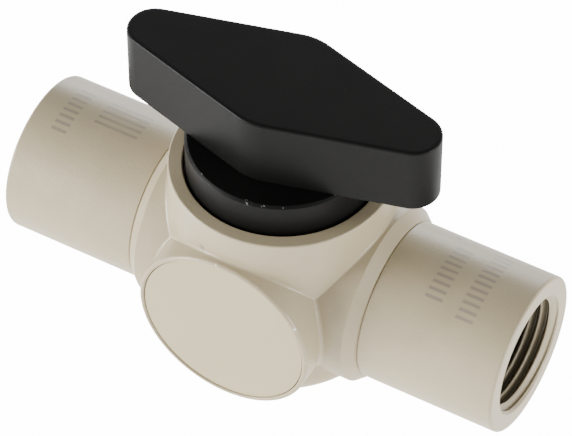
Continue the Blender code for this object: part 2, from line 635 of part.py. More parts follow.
def make_stem_seals():
    inner = STEM_RADIUS + SEAL_GAP
    outer = SEAL_CHAMBER_RADIUS - SEAL_GAP
    middle = (inner + outer) / 2
    washer_top = WASHER_BOTTOM + WASHER_THICKNESS
    ring("stem_thrust_washer", inner, STEM_FLANGE_RADIUS, WASHER_BOTTOM, washer_top, WHITE_FLUOROPOLYMER)
    o_ring("stem_seal_lower", middle, STEM_SEAL_SECTION, LOWER_SEAL)
    ring("stem_spacer_ring", inner, outer, SPACER_BOTTOM, SPACER_BOTTOM + SPACER_THICKNESS, GLAND_PLASTIC)
    o_ring("stem_seal_upper", middle, STEM_SEAL_SECTION, UPPER_SEAL)
    gland = [
        (GLAND_FLANGE_RADIUS, GLAND_TOP),
        (GLAND_FLANGE_RADIUS, GLAND_FLANGE_BOTTOM),
        (outer, GLAND_FLANGE_BOTTOM),
        (outer, GLAND_BOTTOM),
        (inner, GLAND_BOTTOM),
        (inner, GLAND_TOP),
    ]
    finish(turned("gland_ring", gland, segments=SMALL_SEGMENTS, closed=True), GLAND_PLASTIC)


# ---------------------------------------------------------------- knob
def mark_top_edges(thing):
    """Give the edges round the top face a bevel weight, so that only they are rounded."""
    build = bmesh.new()
    build.from_mesh(thing.data)
    weight = build.edges.layers.float.new("bevel_weight_edge")
    highest = max(vert.co.z for vert in build.verts)
    for edge in build.edges:
        on_top = all(vert.co.z > highest - MERGE for vert in edge.verts)
        if on_top and edge.calc_face_angle() > math.radians(60):
            edge[weight] = 1.0
    build.to_mesh(thing.data)
    build.free()


def make_knob():
    """One moulding: the round skirt, and the lozenge grip on it, both hollowed from below."""
    outline = lozenge(GRIP_TIP_CENTRE, GRIP_TIP_RADIUS, GRIP_SIDE_CENTRE, GRIP_SIDE_RADIUS)
    knob = extruded("knob", outline, SKIRT_TOP - GRIP_SINK, GRIP_TOP, cutter=False)
    mark_top_edges(knob)
    edge = knob.modifiers.new("edge", "BEVEL")
    edge.width = GRIP_EDGE
    edge.segments = 2
    edge.limit_method = "WEIGHT"

    skirt_profile = [
        (0.0, SKIRT_TOP),
        (SKIRT_RADIUS - SKIRT_EDGE, SKIRT_TOP),
        (SKIRT_RADIUS, SKIRT_TOP - SKIRT_EDGE),
        (SKIRT_RADIUS, SKIRT_BOTTOM),
        (SKIRT_INNER, SKIRT_BOTTOM),
        (SKIRT_INNER, SKIRT_CEILING),
        (0.0, SKIRT_CEILING),
    ]
    combine(knob, turned("skirt_form", skirt_profile, cutter=True), "UNION")

    lug = sector(
        "stop_lug",
        NECK_RADIUS + RUNNING_GAP,
        SKIRT_INNER + JOIN,
        LUG_ANGLE,
        LUG_HALF_ANGLE,
        SKIRT_BOTTOM + JOIN,
        SKIRT_CEILING + JOIN,
    )
    combine(knob, lug, "UNION")

    socket = block(
        "socket_square",
        (-SOCKET_HALF, -SOCKET_HALF, SKIRT_CEILING - SPARE),
        (SOCKET_HALF, SOCKET_HALF, SQUARE_TOP + RUNNING_GAP),
    )
    combine(knob, socket, "DIFFERENCE")
    socket_end = TIP_TOP + RUNNING_GAP
    groove_half = SNAP_GROOVE_WIDTH / 2
    groove_radius = SNAP_RING_RADIUS + SNAP_WIRE / 2 + SEAL_GAP
    tip_profile = [
        (0.0, socket_end),
        (SOCKET_TIP_RADIUS, socket_end),
        (SOCKET_TIP_RADIUS, SNAP_HEIGHT + groove_half),
        (groove_radius, SNAP_HEIGHT + groove_half),
        (groove_radius, SNAP_HEIGHT - groove_half),
        (SOCKET_TIP_RADIUS, SNAP_HEIGHT - groove_half),
        (SOCKET_TIP_RADIUS, SQUARE_TOP - SPARE),
        (0.0, SQUARE_TOP - SPARE),
    ]
    socket_tip = turned("socket_tip", tip_profile, segments=SMALL_SEGMENTS, cutter=True)
    combine(knob, socket_tip, "DIFFERENCE")

    inner_tip = GRIP_TIP_RADIUS - GRIP_WALL
    inner_side = GRIP_SIDE_RADIUS - GRIP_WALL
    inner_outline = lozenge(GRIP_TIP_CENTRE, inner_tip, GRIP_SIDE_CENTRE, inner_side, 6, 4)
    rib = block(
        "grip_rib",
        (-GRIP_TIP_CENTRE * 2, -GRIP_RIB / 2, SKIRT_BOTTOM),
        (GRIP_TIP_CENTRE * 2, GRIP_RIB / 2, GRIP_TOP + SPARE),
    )
    ends = extruded("grip_end_pockets", inner_outline, SKIRT_TOP - SPARE, GRIP_CEILING, cutter=True)
    keep_out = SKIRT_RADIUS + END_POCKET_GAP
    combine(ends, rod("skirt_keep_out", keep_out, SKIRT_BOTTOM, GRIP_TOP + SPARE), "DIFFERENCE")
    combine(ends, rib, "DIFFERENCE")
    combine(knob, ends, "DIFFERENCE")

    middle_bottom = SKIRT_CEILING - SPARE
    middle = extruded("grip_middle_pocket", inner_outline, middle_bottom, GRIP_CEILING, cutter=True)
    reach = SKIRT_INNER - MIDDLE_POCKET_GAP
    combine(middle, rod("middle_reach", reach, SKIRT_BOTTOM, GRIP_TOP + SPARE), "INTERSECT")
    hub = rod("knob_hub", KNOB_HUB_RADIUS, SKIRT_BOTTOM, GRIP_TOP + SPARE, segments=SMALL_SEGMENTS)
    combine(middle, hub, "DIFFERENCE")
    combine(knob, middle, "DIFFERENCE")
    return finish(knob, BLACK_PLASTIC)


def make_snap_ring():
    """A split ring of round wire, drawn as an open curve with a round section."""
    curve = bpy.data.curves.new("knob_snap_ring", "CURVE")
    curve.dimensions = "3D"
    curve.bevel_depth = SNAP_WIRE / 2
    curve.bevel_resolution = 1
    curve.use_fill_caps = True
    steps = 20
    opening = math.radians(SNAP_OPENING)
    spline = curve.splines.new("POLY")
    spline.points.add(steps)
    for index, point in enumerate(spline.points):
        angle = opening / 2 + (2 * math.pi - opening) * index / steps
        x = SNAP_RING_RADIUS * math.cos(angle)
        y = SNAP_RING_RADIUS * math.sin(angle)
        point.co = (x, y, SNAP_HEIGHT, 1.0)
    wire = place(bpy.data.objects.new("knob_snap_ring", curve), False)
    return finish(wire, SPRING_STEEL)


def shade(thing):
    """Smooth shading on round faces, sharp where two faces meet at more than 35 degrees."""
    if thing.type != "MESH":
        return
    thing.data.shade_smooth()
    thing.data.set_sharp_from_angle(angle=math.radians(35))


make_body()
make_front_plug()
make_ball()
make_seats()
make_stem()
make_stem_seals()
make_knob()
make_snap_ring()

# The pieces that turn hang from one empty on the stem axis.
turning_axis = bpy.data.objects.new("stem_axis", None)
PARTS.objects.link(turning_axis)
for moving_name in ("ball", "stem", "knob", "knob_snap_ring"):
    bpy.data.objects[moving_name].parent = turning_axis
for part in PARTS.objects:
    shade(part)
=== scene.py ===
# %% [markdown]
# # A three way ball valve, piece by piece
#
# The valve is a beige moulded body with a straight run of two threaded tubes, a short port at the
# back, a round collar on top, and a boss at the front that a welded plug closes. A black
# knob on a stem turns a ball with an L-shaped waterway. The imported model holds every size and
# every joint, so this script loads it as a fixed frame and makes the fine surface of each piece
# where the frame says that the piece is.

# %% Load the frame
import json
import math

import bmesh
import bpy
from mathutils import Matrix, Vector

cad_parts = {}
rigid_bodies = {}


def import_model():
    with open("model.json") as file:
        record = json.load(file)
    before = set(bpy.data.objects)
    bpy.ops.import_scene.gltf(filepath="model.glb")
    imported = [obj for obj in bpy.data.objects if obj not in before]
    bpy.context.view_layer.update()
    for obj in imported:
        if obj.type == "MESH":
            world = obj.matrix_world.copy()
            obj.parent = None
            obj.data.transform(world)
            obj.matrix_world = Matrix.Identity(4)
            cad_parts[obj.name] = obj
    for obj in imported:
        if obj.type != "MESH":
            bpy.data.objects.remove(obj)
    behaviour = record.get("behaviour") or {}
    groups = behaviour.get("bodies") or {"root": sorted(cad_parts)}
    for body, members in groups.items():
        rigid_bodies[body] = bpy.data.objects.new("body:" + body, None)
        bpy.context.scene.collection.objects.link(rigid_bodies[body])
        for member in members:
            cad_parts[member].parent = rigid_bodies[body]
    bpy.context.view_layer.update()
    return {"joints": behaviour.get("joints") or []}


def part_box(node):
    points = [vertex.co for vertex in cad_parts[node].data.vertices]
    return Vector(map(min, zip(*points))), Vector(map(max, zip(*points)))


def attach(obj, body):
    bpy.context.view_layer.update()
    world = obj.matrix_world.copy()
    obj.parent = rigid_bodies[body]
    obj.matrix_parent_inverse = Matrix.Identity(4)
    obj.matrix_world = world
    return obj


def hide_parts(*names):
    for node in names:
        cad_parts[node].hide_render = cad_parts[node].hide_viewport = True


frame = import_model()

# %% [markdown]
# ## The crossing point
#
# The two waterways and the stem all cross in the middle of the ball. Every profile below is
# drawn as (radius, height along an axis) from that point, so that one number means the same thing
# on every piece. The joint's own position gives the point, and the boxes of the packed
# pieces give the lengths that end in a face.

# %% Sizes read from the frame
MM = 0.001
CROSSING = Vector(frame["joints"][0]["pos_m"])
body_low, body_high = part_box("valve_body")
plug_low, plug_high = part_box("front_plug")
knob_low, knob_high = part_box("knob")
stem_low, stem_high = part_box("stem")
RUN_HALF_LENGTH = body_high.x
BACK_PORT_LENGTH = body_high.y
BOSS_FACE = -body_low.y
BODY_BOTTOM = CROSSING.z - body_low.z
PLUG_FACE = -plug_low.y
PLUG_RADIUS = plug_high.x
SKIRT_BOTTOM = knob_low.z - CROSSING.z
GRIP_TOP = knob_high.z - CROSSING.z
print("run", round(2 * RUN_HALF_LENGTH / MM, 1), "mm, grip top", round(GRIP_TOP / MM, 2), "mm above the axis")

# %% [markdown]
# ## Turning a profile
#
# Almost everything in a valve is turned or moulded round. A Screw modifier would do it, but one
# small function that writes the rings gives poles without loose centres, any axis, and a closed
# solid that a Boolean can trust. The corners of a real moulding are never sharp: each has a
# small radius that catches the light, so the profile's corners are rounded before it is turned.

# %% Lathe and rounded corners
DIRECTIONS = {
    "+Z": ((1, 0, 0), (0, 1, 0), (0, 0, 1)),
    "+X": ((0, 1, 0), (0, 0, 1), (1, 0, 0)),
    "-X": ((0, -1, 0), (0, 0, 1), (-1, 0, 0)),
    "+Y": ((-1, 0, 0), (0, 0, 1), (0, 1, 0)),
    "-Y": ((1, 0, 0), (0, 0, 1), (0, -1, 0)),
}
WELD = 1e-6


def on_axis(axis, radius, angle, height):
    """The point at a radius, an angle and a height along an axis through the crossing."""
    side, other, along = (Vector(d) for d in DIRECTIONS[axis])
    return CROSSING + radius * (math.cos(angle) * side + math.sin(angle) * other) + height * along


def soften(corners, steps=4):
    """Round the corners of a closed outline: each corner is (radius, height, rounding)."""
    outline = []
    for index, (radius, height, rounding) in enumerate(corners):
        here = Vector((radius, height))
        if rounding == 0:
            outline.append(here)
            continue
        back = (Vector(corners[index - 1][:2]) - here).normalized()
        ahead = (Vector(corners[(index + 1) % len(corners)][:2]) - here).normalized()
        half = back.angle(ahead) / 2
        centre = here + (back + ahead).normalized() * rounding / math.sin(half)
        start = here + back * rounding / math.tan(half) - centre
        end = here + ahead * rounding / math.tan(half) - centre
        sweep_angle = start.angle(end)
        for step in range(steps + 1):
            part = sweep_angle * step / steps
            mixed = start * math.sin(sweep_angle - part) + end * math.sin(part)
            outline.append(centre + mixed / math.sin(sweep_angle))
    return [(point.x, point.y) for point in outline]


def new_object(name, build):
    """Close a bmesh into an object of the scene, faces pointing out."""
    bmesh.ops.remove_doubles(build, verts=build.verts, dist=WELD)
    bmesh.ops.dissolve_degenerate(build, dist=WELD, edges=build.edges)
    bmesh.ops.recalc_face_normals(build, faces=build.faces)
    mesh = bpy.data.meshes.new(name)
    build.to_mesh(mesh)
    build.free()
    thing = bpy.data.objects.new(name, mesh)
    bpy.context.scene.collection.objects.link(thing)
    return thing


def skin(build, rows, wrap_rows, wrap_columns):
    """Join rows of vertices into faces; a row of one repeated vertex makes a fan."""
    count = len(rows[0])
    last_row = len(rows) if wrap_rows else len(rows) - 1
    last_column = count if wrap_columns else count - 1
    for row in range(last_row):
        first, second = rows[row], rows[(row + 1) % len(rows)]
        for column in range(last_column):
            following = (column + 1) % count
            corners = [first[column], first[following], second[following], second[column]]
            distinct = list(dict.fromkeys(corners))
            if len(distinct) > 2:
                build.faces.new(distinct)


def lathe(name, profile, axis="+Z", segments=160):
    """Turn a closed outline of (radius, height) points about an axis through the crossing."""
    build = bmesh.new()
    rows = []
    for radius, height in profile:
        if radius < WELD:
            rows.append([build.verts.new(on_axis(axis, 0.0, 0.0, height))] * segments)
            continue
        angles = [2 * math.pi * step / segments for step in range(segments)]
        rows.append([build.verts.new(on_axis(axis, radius, angle, height)) for angle in angles])
    skin(build, rows, wrap_rows=True, wrap_columns=True)
    return new_object(name, build)


print("corner of 1 mm rounding becomes", len(soften([(0, 0, 0), (5, 0, 1), (5, 5, 0)])), "points")

# %% [markdown]
# ## Joining and cutting
#
# The body is one moulding, but it is easiest to think of as solids that run into each other and
# tools that cut them. One Boolean can take a whole collection of operands, which is faster and
# cleaner than a stack of single ones. The exact solver keeps every edge where two faces cross.

# %% Boolean with several tools at once
def carve(base, tools, operation):
    """Union with, or cut by, several closed solids, and keep only the result."""
    crate = bpy.data.collections.new("tools")
    bpy.context.scene.collection.children.link(crate)
    for tool in tools:
        bpy.context.scene.collection.objects.unlink(tool)
        crate.objects.link(tool)
    step = base.modifiers.new("carve", "BOOLEAN")
    step.operation = operation
    step.operand_type = "COLLECTION"
    step.collection = crate
    step.solver = "EXACT"
    bpy.context.view_layer.update()
    evaluated = base.evaluated_get(bpy.context.evaluated_depsgraph_get())
    result = bpy.data.meshes.new_from_object(evaluated)
    base.modifiers.clear()
    base.data = result
    for tool in tools:
        bpy.data.objects.remove(tool, do_unlink=True)
    bpy.data.collections.remove(crate)
    return base


def smooth(thing, sharp_degrees=32.0):
    """Smooth shading that stays crisp at real edges, with long faces leading the normals."""
    thing.data.shade_smooth()
    thing.data.set_sharp_from_angle(angle=math.radians(sharp_degrees))
    even = thing.modifiers.new("even_normals", "WEIGHTED_NORMAL")
    even.keep_sharp = True
    return thing


def settle(thing, body, material, slot_name, *nodes):
    """Finish a piece: its material, the body it moves with, the solids it stands for. The slot name is not
    used.
    """
    thing.data.materials.clear()
    thing.data.materials.append(material)
    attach(thing, body)
    if nodes:
        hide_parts(*nodes)
    return thing


# %% [markdown]
# ## Moulding marks shared by every plastic
#
# Moulded plastic is never one even colour. It has soft clouds where the melt flowed, a fine
# grain from the mould's surface, and a few specks of dust. Several materials need the same
# three effects at their own strength, so they live in one node group with named sockets. The
# group gives out masks only: each material decides what its masks do to colour and gloss.

# %% Node helpers and the moulding group
def wire(tree, source, target):
    """Link an output to an input, both given as (node, socket name or number)."""
    tree.links.new(source[0].outputs[source[1]], target[0].inputs[target[1]])


def node(tree, kind, **values):
    """Add a node; values are its settings, and inputs=dict(...) sets its sockets."""
    made = tree.nodes.new(kind)
    inputs = values.pop("inputs", {})
    for name, value in values.items():
        setattr(made, name, value)
    for name, value in inputs.items():
        made.inputs[name].default_value = value
    return made


def new_group(name, sockets_in, sockets_out):
    """An empty shader group with number sockets; the inputs are {name: default}."""
    tree = bpy.data.node_groups.new(name, "ShaderNodeTree")
    for socket, default in sockets_in.items():
        made = tree.interface.new_socket(socket, in_out="INPUT", socket_type="NodeSocketFloat")
        made.default_value = default
    for socket in sockets_out:
        tree.interface.new_socket(socket, in_out="OUTPUT", socket_type="NodeSocketFloat")
    return tree, node(tree, "NodeGroupInput"), node(tree, "NodeGroupOutput")


def math_node(tree, operation, first, second=None, third=None, clamp=False):
    """A Math node whose operands are numbers or outputs."""
    made = node(tree, "ShaderNodeMath", operation=operation, use_clamp=clamp)
    for number, operand in enumerate((first, second, third)):
        if isinstance(operand, tuple):
            wire(tree, operand, (made, number))
        elif operand is not None:
            made.inputs[number].default_value = operand
    return made, "Value"


def ranged(tree, source, start, end):
    """How far a value has gone from start to end, as 0..1; start may be the larger."""
    made = node(tree, "ShaderNodeMapRange", inputs={"From Min": start, "From Max": end})
    wire(tree, source, (made, "Value"))
    return made, "Result"


def moulding_group():
    """Clouds, grain and specks, as three masks."""
    tree, entry, leave = new_group(
        "moulding_marks",
        {"Cloud Scale": 60.0, "Grain Scale": 2500.0, "Speck Scale": 260.0, "Speck Amount": 0.02},
        ["Clouds", "Grain", "Specks"],
    )
    place = node(tree, "ShaderNodeTexCoord")
    clouds = node(tree, "ShaderNodeTexNoise", inputs={"Detail": 3.0, "Roughness": 0.55, "Distortion": 0.6})
    grain = node(tree, "ShaderNodeTexNoise", inputs={"Detail": 2.0, "Roughness": 0.5})
    cells = node(tree, "ShaderNodeTexVoronoi", feature="F1")
    chosen = node(tree, "ShaderNodeSeparateColor")
    for texture in (clouds, grain, cells):
        wire(tree, (place, "Object"), (texture, "Vector"))
    wire(tree, (entry, "Cloud Scale"), (clouds, "Scale"))
    wire(tree, (entry, "Grain Scale"), (grain, "Scale"))
    wire(tree, (entry, "Speck Scale"), (cells, "Scale"))
    wire(tree, (cells, "Color"), (chosen, "Color"))
    near_cell_middle = ranged(tree, (cells, "Distance"), 0.16, 0.10)
    rare = math_node(tree, "LESS_THAN", (chosen, "Red"), (entry, "Speck Amount"))
    wire(tree, math_node(tree, "MULTIPLY", near_cell_middle, rare), (leave, "Specks"))
    wire(tree, (clouds, "Fac"), (leave, "Clouds"))
    wire(tree, (grain, "Fac"), (leave, "Grain"))
    return tree


MOULDING = moulding_group()
masks = [socket.name for socket in MOULDING.interface.items_tree if socket.in_out == "OUTPUT"]
print("group", MOULDING.name, "gives", masks)

# %% [markdown]
# ## Handling marks along a round edge
#
# The edge that fingers and tools meet first loses its skin: the knob's round skirt and the rims
# of the collar and the boss show tiny pale nicks. A bevel or pointiness node would find every
# edge, also the hidden ones, and the export can't bake it well. The edges that matter here are
# circles, so the group measures how far a point is from a circle and breaks that band up.

# %% The edge nick group
NICK_CONTRAST = 14.0           # how abruptly a nick starts


def nick_group():
    """Where a broken band round a circle is worn, as a mask."""
    tree, entry, leave = new_group(
        "edge_nicks",
        {"Across A": 0.0, "Across B": 0.0, "Along": 0.0, "Circle Radius": 0.01, "Circle Height": 0.0,
         "Band": 0.0003, "Nick Scale": 850.0, "Amount": 0.4},
        ["Nicks"],
    )
    across = node(tree, "ShaderNodeCombineXYZ")
    out_from_axis = node(tree, "ShaderNodeVectorMath", operation="LENGTH")
    section = node(tree, "ShaderNodeCombineXYZ")
    away = node(tree, "ShaderNodeVectorMath", operation="LENGTH")
    place = node(tree, "ShaderNodeTexCoord")
    broken = node(tree, "ShaderNodeTexNoise", inputs={"Detail": 4.0, "Roughness": 0.7})
    wire(tree, (entry, "Across A"), (across, "X"))
    wire(tree, (entry, "Across B"), (across, "Y"))
    wire(tree, (across, "Vector"), (out_from_axis, "Vector"))
    radial = math_node(tree, "SUBTRACT", (out_from_axis, "Value"), (entry, "Circle Radius"))
    axial = math_node(tree, "SUBTRACT", (entry, "Along"), (entry, "Circle Height"))
    wire(tree, radial, (section, "X"))
    wire(tree, axial, (section, "Y"))
    wire(tree, (section, "Vector"), (away, "Vector"))
    share = math_node(tree, "DIVIDE", (away, "Value"), (entry, "Band"))
    near = ranged(tree, share, 1.0, 0.6)
    wire(tree, (place, "Object"), (broken, "Vector"))
    wire(tree, (entry, "Nick Scale"), (broken, "Scale"))
    least = math_node(tree, "SUBTRACT", 1.0, (entry, "Amount"))
    above = math_node(tree, "SUBTRACT", (broken, "Fac"), least)
    crisp = math_node(tree, "MULTIPLY", above, NICK_CONTRAST, clamp=True)
    wire(tree, math_node(tree, "MULTIPLY", crisp, near), (leave, "Nicks"))
    return tree


NICKS = nick_group()
print("group", NICKS.name, "has", len(NICKS.nodes), "nodes")

# %% [markdown]
# ## A recipe for moulded plastic
#
# Polypropylene from a polished mould is satin: a broad soft highlight with a faint grain. One
# function makes every plastic of the valve, and its values tell them apart. Colour goes
# through the cloud mask between two close tones, specks and nicks are mixed over it, and the
# grain feeds a bump. What is constant, such as the specular level, stays on the shader's socket.

# %% Moulded plastic
def group_node(tree, group, **inputs):
    """Place a group; each keyword is a socket's name with _ for a space."""
    made = node(tree, "ShaderNodeGroup", node_tree=group)
    for name, value in inputs.items():
        made.inputs[name.replace("_", " ")].default_value = value
    return made


MIXED_COLOUR = 2               # number of a Mix node's colour output


def tint(tree, amount, below, above):
    """Mix a colour over what is below it; both may be an output or a plain colour."""
    mixed = node(tree, "ShaderNodeMix", data_type="RGBA")
    wire(tree, amount, (mixed, 0))
    for socket, colour in ((6, below), (7, above)):
        if isinstance(colour[0], (int, float)):
            mixed.inputs[socket].default_value = (*colour, 1.0)
        else:
            wire(tree, colour, (mixed, socket))
    return mixed, MIXED_COLOUR


def scaled(tree, source, low, high):
    """A mask stretched from 0..1 to low..high."""
    stretch = node(tree, "ShaderNodeMapRange", inputs={"To Min": low, "To Max": high})
    wire(tree, source, (stretch, "Value"))
    return stretch, "Result"


GRAIN_SCALE = 2500.0
CLOUD_SPREAD = (-0.6, 1.6)     # stretches the noise so that both tones are reached


def moulded(name, dark, light, gloss, grain, speck, circles=(), nick_colour=(0.9, 0.88, 0.82),
            cloud_scale=60.0, speck_amount=0.02, sheen=0.5):
    """Satin plastic; gloss is (least, most) roughness, circles are edges that carry nicks."""
    made = bpy.data.materials.new(name + "_finish")
    made.use_nodes = True
    tree = made.node_tree
    shader = tree.nodes["Principled BSDF"]
    marks = group_node(
        tree, MOULDING, Cloud_Scale=cloud_scale, Grain_Scale=GRAIN_SCALE, Speck_Amount=speck_amount)
    spread = scaled(tree, (marks, "Clouds"), *CLOUD_SPREAD)
    colour = tint(tree, spread, dark, light)
    colour = tint(tree, (marks, "Specks"), colour, speck)
    if circles:
        place = node(tree, "ShaderNodeTexCoord")
        parts = node(tree, "ShaderNodeSeparateXYZ")
        wire(tree, (place, "Object"), (parts, "Vector"))
        lifted = math_node(tree, "SUBTRACT", (parts, "Z"), CROSSING.z)
    for axis, radius, height, band, amount in circles:
        nicks = group_node(
            tree, NICKS, Circle_Radius=radius, Circle_Height=height, Band=band, Amount=amount)
        wire(tree, (parts, "X"), (nicks, "Across A"))
        wire(tree, (parts, "Y") if axis == "Z" else lifted, (nicks, "Across B"))
        wire(tree, lifted if axis == "Z" else (parts, "Y"), (nicks, "Along"))
        colour = tint(tree, (nicks, "Nicks"), colour, nick_colour)
    wire(tree, colour, (shader, "Base Color"))
    wire(tree, scaled(tree, (marks, "Clouds"), *gloss), (shader, "Roughness"))
    bump = node(tree, "ShaderNodeBump", inputs={"Strength": 1.0, "Distance": grain})
    wire(tree, (marks, "Grain"), (bump, "Height"))
    wire(tree, (bump, "Normal"), (shader, "Normal"))
    shader.inputs["Specular IOR Level"].default_value = sheen
    return made


# %% [markdown]
# ## Shade in the ports and plain ticks on the tubes
#
# Two more effects belong to the body alone. The threads are darker than the outside: painted
# shade, for the light that does not reach into a port, most of all in its grooves and deep in
# the port. And the tubes carry laser marks: here plain, evenly spaced ticks, which say nothing.
# The ticks run round the tube, so they are drawn from the distance along it and the angle round it.

# %% The port shade and tick groups
THREAD_MINOR = 7.475 * MM      # radius of the thread's crests, G 3/8
THREAD_MAJOR = 8.33 * MM       # radius of its grooves
SHADE_FADE = 0.08 * MM         # how softly the shade ends at the grooves
GROOVE_SHORT = 0.15 * MM       # a groove is darkest from this far before its bottom
SHADE_START = 9.7 * MM         # just outside the ball's chamber
TICK_SHARE = 0.42              # share of the spacing that a tick covers
FIRST_GROOVE = (0.7 * MM, 1.3 * MM)    # depth below the mouth where grooves turn dark
DEEP_SHADE = (0.9 * MM, 9.0 * MM)      # depth over which the whole port turns dark


def port_shade_group():
    """Painted shade inside a port: in its grooves, and deeper in."""
    tree, entry, leave = new_group(
        "port_shade", {"Across A": 0.0, "Across B": 0.0, "Along": 0.0, "Mouth": 0.037}, ["Shade"])
    across = node(tree, "ShaderNodeCombineXYZ")
    length = node(tree, "ShaderNodeVectorMath", operation="LENGTH")
    wire(tree, (entry, "Across A"), (across, "X"))
    wire(tree, (entry, "Across B"), (across, "Y"))
    wire(tree, (across, "Vector"), (length, "Vector"))
    radius = (length, "Value")
    inside = ranged(tree, radius, THREAD_MAJOR + SHADE_FADE, THREAD_MAJOR)
    past_chamber = math_node(tree, "GREATER_THAN", (entry, "Along"), SHADE_START)
    depth = math_node(tree, "SUBTRACT", (entry, "Mouth"), (entry, "Along"))
    deep = ranged(tree, depth, *DEEP_SHADE)
    groove = ranged(tree, radius, THREAD_MINOR, THREAD_MAJOR - GROOVE_SHORT)
    in_groove = math_node(tree, "MULTIPLY", groove, ranged(tree, depth, *FIRST_GROOVE))
    dark = math_node(tree, "MULTIPLY_ADD", in_groove, 0.5, 0.1)
    dark = math_node(tree, "MULTIPLY_ADD", deep, 0.85, dark, clamp=True)
    dark = math_node(tree, "MULTIPLY", dark, inside)
    wire(tree, math_node(tree, "MULTIPLY", dark, past_chamber), (leave, "Shade"))
    return tree


def tick_group():
    """Evenly spaced ticks in one row round a tube."""
    tree, entry, leave = new_group(
        "laser_ticks",
        {"Along": 0.0, "Angle": 0.0, "Middle": 0.0, "Half Length": 0.001, "Middle Angle": 1.5,
         "Half Angle": 0.3, "Spacing": 0.09},
        ["Ink"],
    )
    in_row = math_node(tree, "COMPARE", (entry, "Along"), (entry, "Middle"), (entry, "Half Length"))
    in_turn = math_node(tree, "COMPARE", (entry, "Angle"), (entry, "Middle Angle"), (entry, "Half Angle"))
    from_tick = math_node(tree, "PINGPONG", (entry, "Angle"), (entry, "Spacing"))
    width = math_node(tree, "MULTIPLY", (entry, "Spacing"), TICK_SHARE)
    on_tick = math_node(tree, "LESS_THAN", from_tick, width)
    place = node(tree, "ShaderNodeTexCoord")
    worn = node(tree, "ShaderNodeTexNoise", inputs={"Scale": 150.0, "Detail": 1.0})
    wire(tree, (place, "Object"), (worn, "Vector"))
    strength = ranged(tree, (worn, "Fac"), 0.0, 0.6)
    ink = math_node(tree, "MULTIPLY", in_row, in_turn)
    ink = math_node(tree, "MULTIPLY", ink, on_tick)
    wire(tree, math_node(tree, "MULTIPLY", ink, strength), (leave, "Ink"))
    return tree


PORT_SHADE = port_shade_group()
TICKS = tick_group()
SHADE_COLOUR = (0.035, 0.029, 0.016)
INK_COLOUR = (0.20, 0.165, 0.150)
INK_STRENGTH = 0.62
TICK_SPACING = 0.05            # half the angle from tick to tick, in radians
TICK_ROWS = (                  # middle along the run, half length, middle and half angle
    (25.2 * MM, 1.25 * MM, 1.48, 0.46),
    (30.1 * MM, 1.25 * MM, 1.55, 0.62),
    (-32.2 * MM, 1.15 * MM, 1.58, 0.40),
    (-25.2 * MM, 3.3 * MM, 1.72, 0.26),
)


def mark_body(material):
    """Lay the ticks and the port shade over what already feeds the body's colour."""
    tree = material.node_tree
    shader = tree.nodes["Principled BSDF"]
    link = shader.inputs["Base Color"].links[0]
    colour = (link.from_node, MIXED_COLOUR)
    place = node(tree, "ShaderNodeTexCoord")
    parts = node(tree, "ShaderNodeSeparateXYZ")
    wire(tree, (place, "Object"), (parts, "Vector"))
    x, y, z = (parts, "X"), (parts, "Y"), math_node(tree, "SUBTRACT", (parts, "Z"), CROSSING.z)
    angle = math_node(tree, "ARCTAN2", z, math_node(tree, "MULTIPLY", y, -1.0))
    past_hub = math_node(tree, "GREATER_THAN", math_node(tree, "ABSOLUTE", x), HUB_END + GROOVE)
    on_tube = math_node(tree, "MULTIPLY", past_hub, INK_STRENGTH)
    for middle, half, turn, half_turn in TICK_ROWS:
        ticks = group_node(tree, TICKS, Middle=middle, Half_Length=half, Middle_Angle=turn,
                           Half_Angle=half_turn, Spacing=TICK_SPACING)
        wire(tree, x, (ticks, "Along"))
        wire(tree, angle, (ticks, "Angle"))
        ink = math_node(tree, "MULTIPLY", (ticks, "Ink"), on_tube)
        colour = tint(tree, ink, colour, INK_COLOUR)
    # painted shade inside the run's ports and the back port
    for along, across, mouth in ((x, y, RUN_HALF_LENGTH), (y, x, BACK_PORT_LENGTH)):
        shade = group_node(tree, PORT_SHADE, Mouth=mouth)
        wire(tree, across, (shade, "Across A"))
        wire(tree, z, (shade, "Across B"))
        wire(tree, math_node(tree, "ABSOLUTE", along), (shade, "Along"))
        colour = tint(tree, (shade, "Shade"), colour, SHADE_COLOUR)
    wire(tree, colour, (shader, "Base Color"))


print("groups", PORT_SHADE.name, "and", TICKS.name, "with", len(TICK_ROWS), "rows of ticks")

# %% [markdown]
# ## The valve body
#
# The body is one injection moulding. Its outside is a horizontal bar with a thicker hub, a
# vertical drum whose top is the collar, the round boss at the front and the short port at the
# back. Each is a turned solid, and a union runs them together. Modelling it face by face
# would lose the true curves where cylinders cross, which is what makes a fitting look right.

# %% Outside of the body
TUBE_RADIUS = 11.0 * MM
HUB_RADIUS = 12.4 * MM
HUB_HALF_LENGTH = 15.7 * MM
HUB_END = 17.1 * MM
HUB_FOOT = 11.22 * MM          # where the hub's end chamfer meets the groove by the tube
COLLAR_RADIUS = 15.05 * MM
COLLAR_TOP = 17.6 * MM
COLLAR_BORE = 13.1 * MM
RECESS_FLOOR = 14.5 * MM
BOTTOM_ROUNDING = 4.0 * MM
BOSS_RADIUS = 12.7 * MM
BOSS_INNER = 12.0 * MM
SPARE = 2.0 * MM               # how far a solid or cutter runs past what it meets
GROOVE = 0.16 * MM             # depth of the fine groove between hub and tube
FINE = 0.25 * MM               # common rounding of moulded corners
SLIGHT = 0.15 * MM             # rounding of small pieces
TINY = 0.1 * MM
PORT_ROUNDING = 0.45 * MM
RIM_OUTSIDE = 0.5 * MM         # outer rounding of the boss's rim
CREST = 0.12 * MM              # crisper rounding of the hub's rims


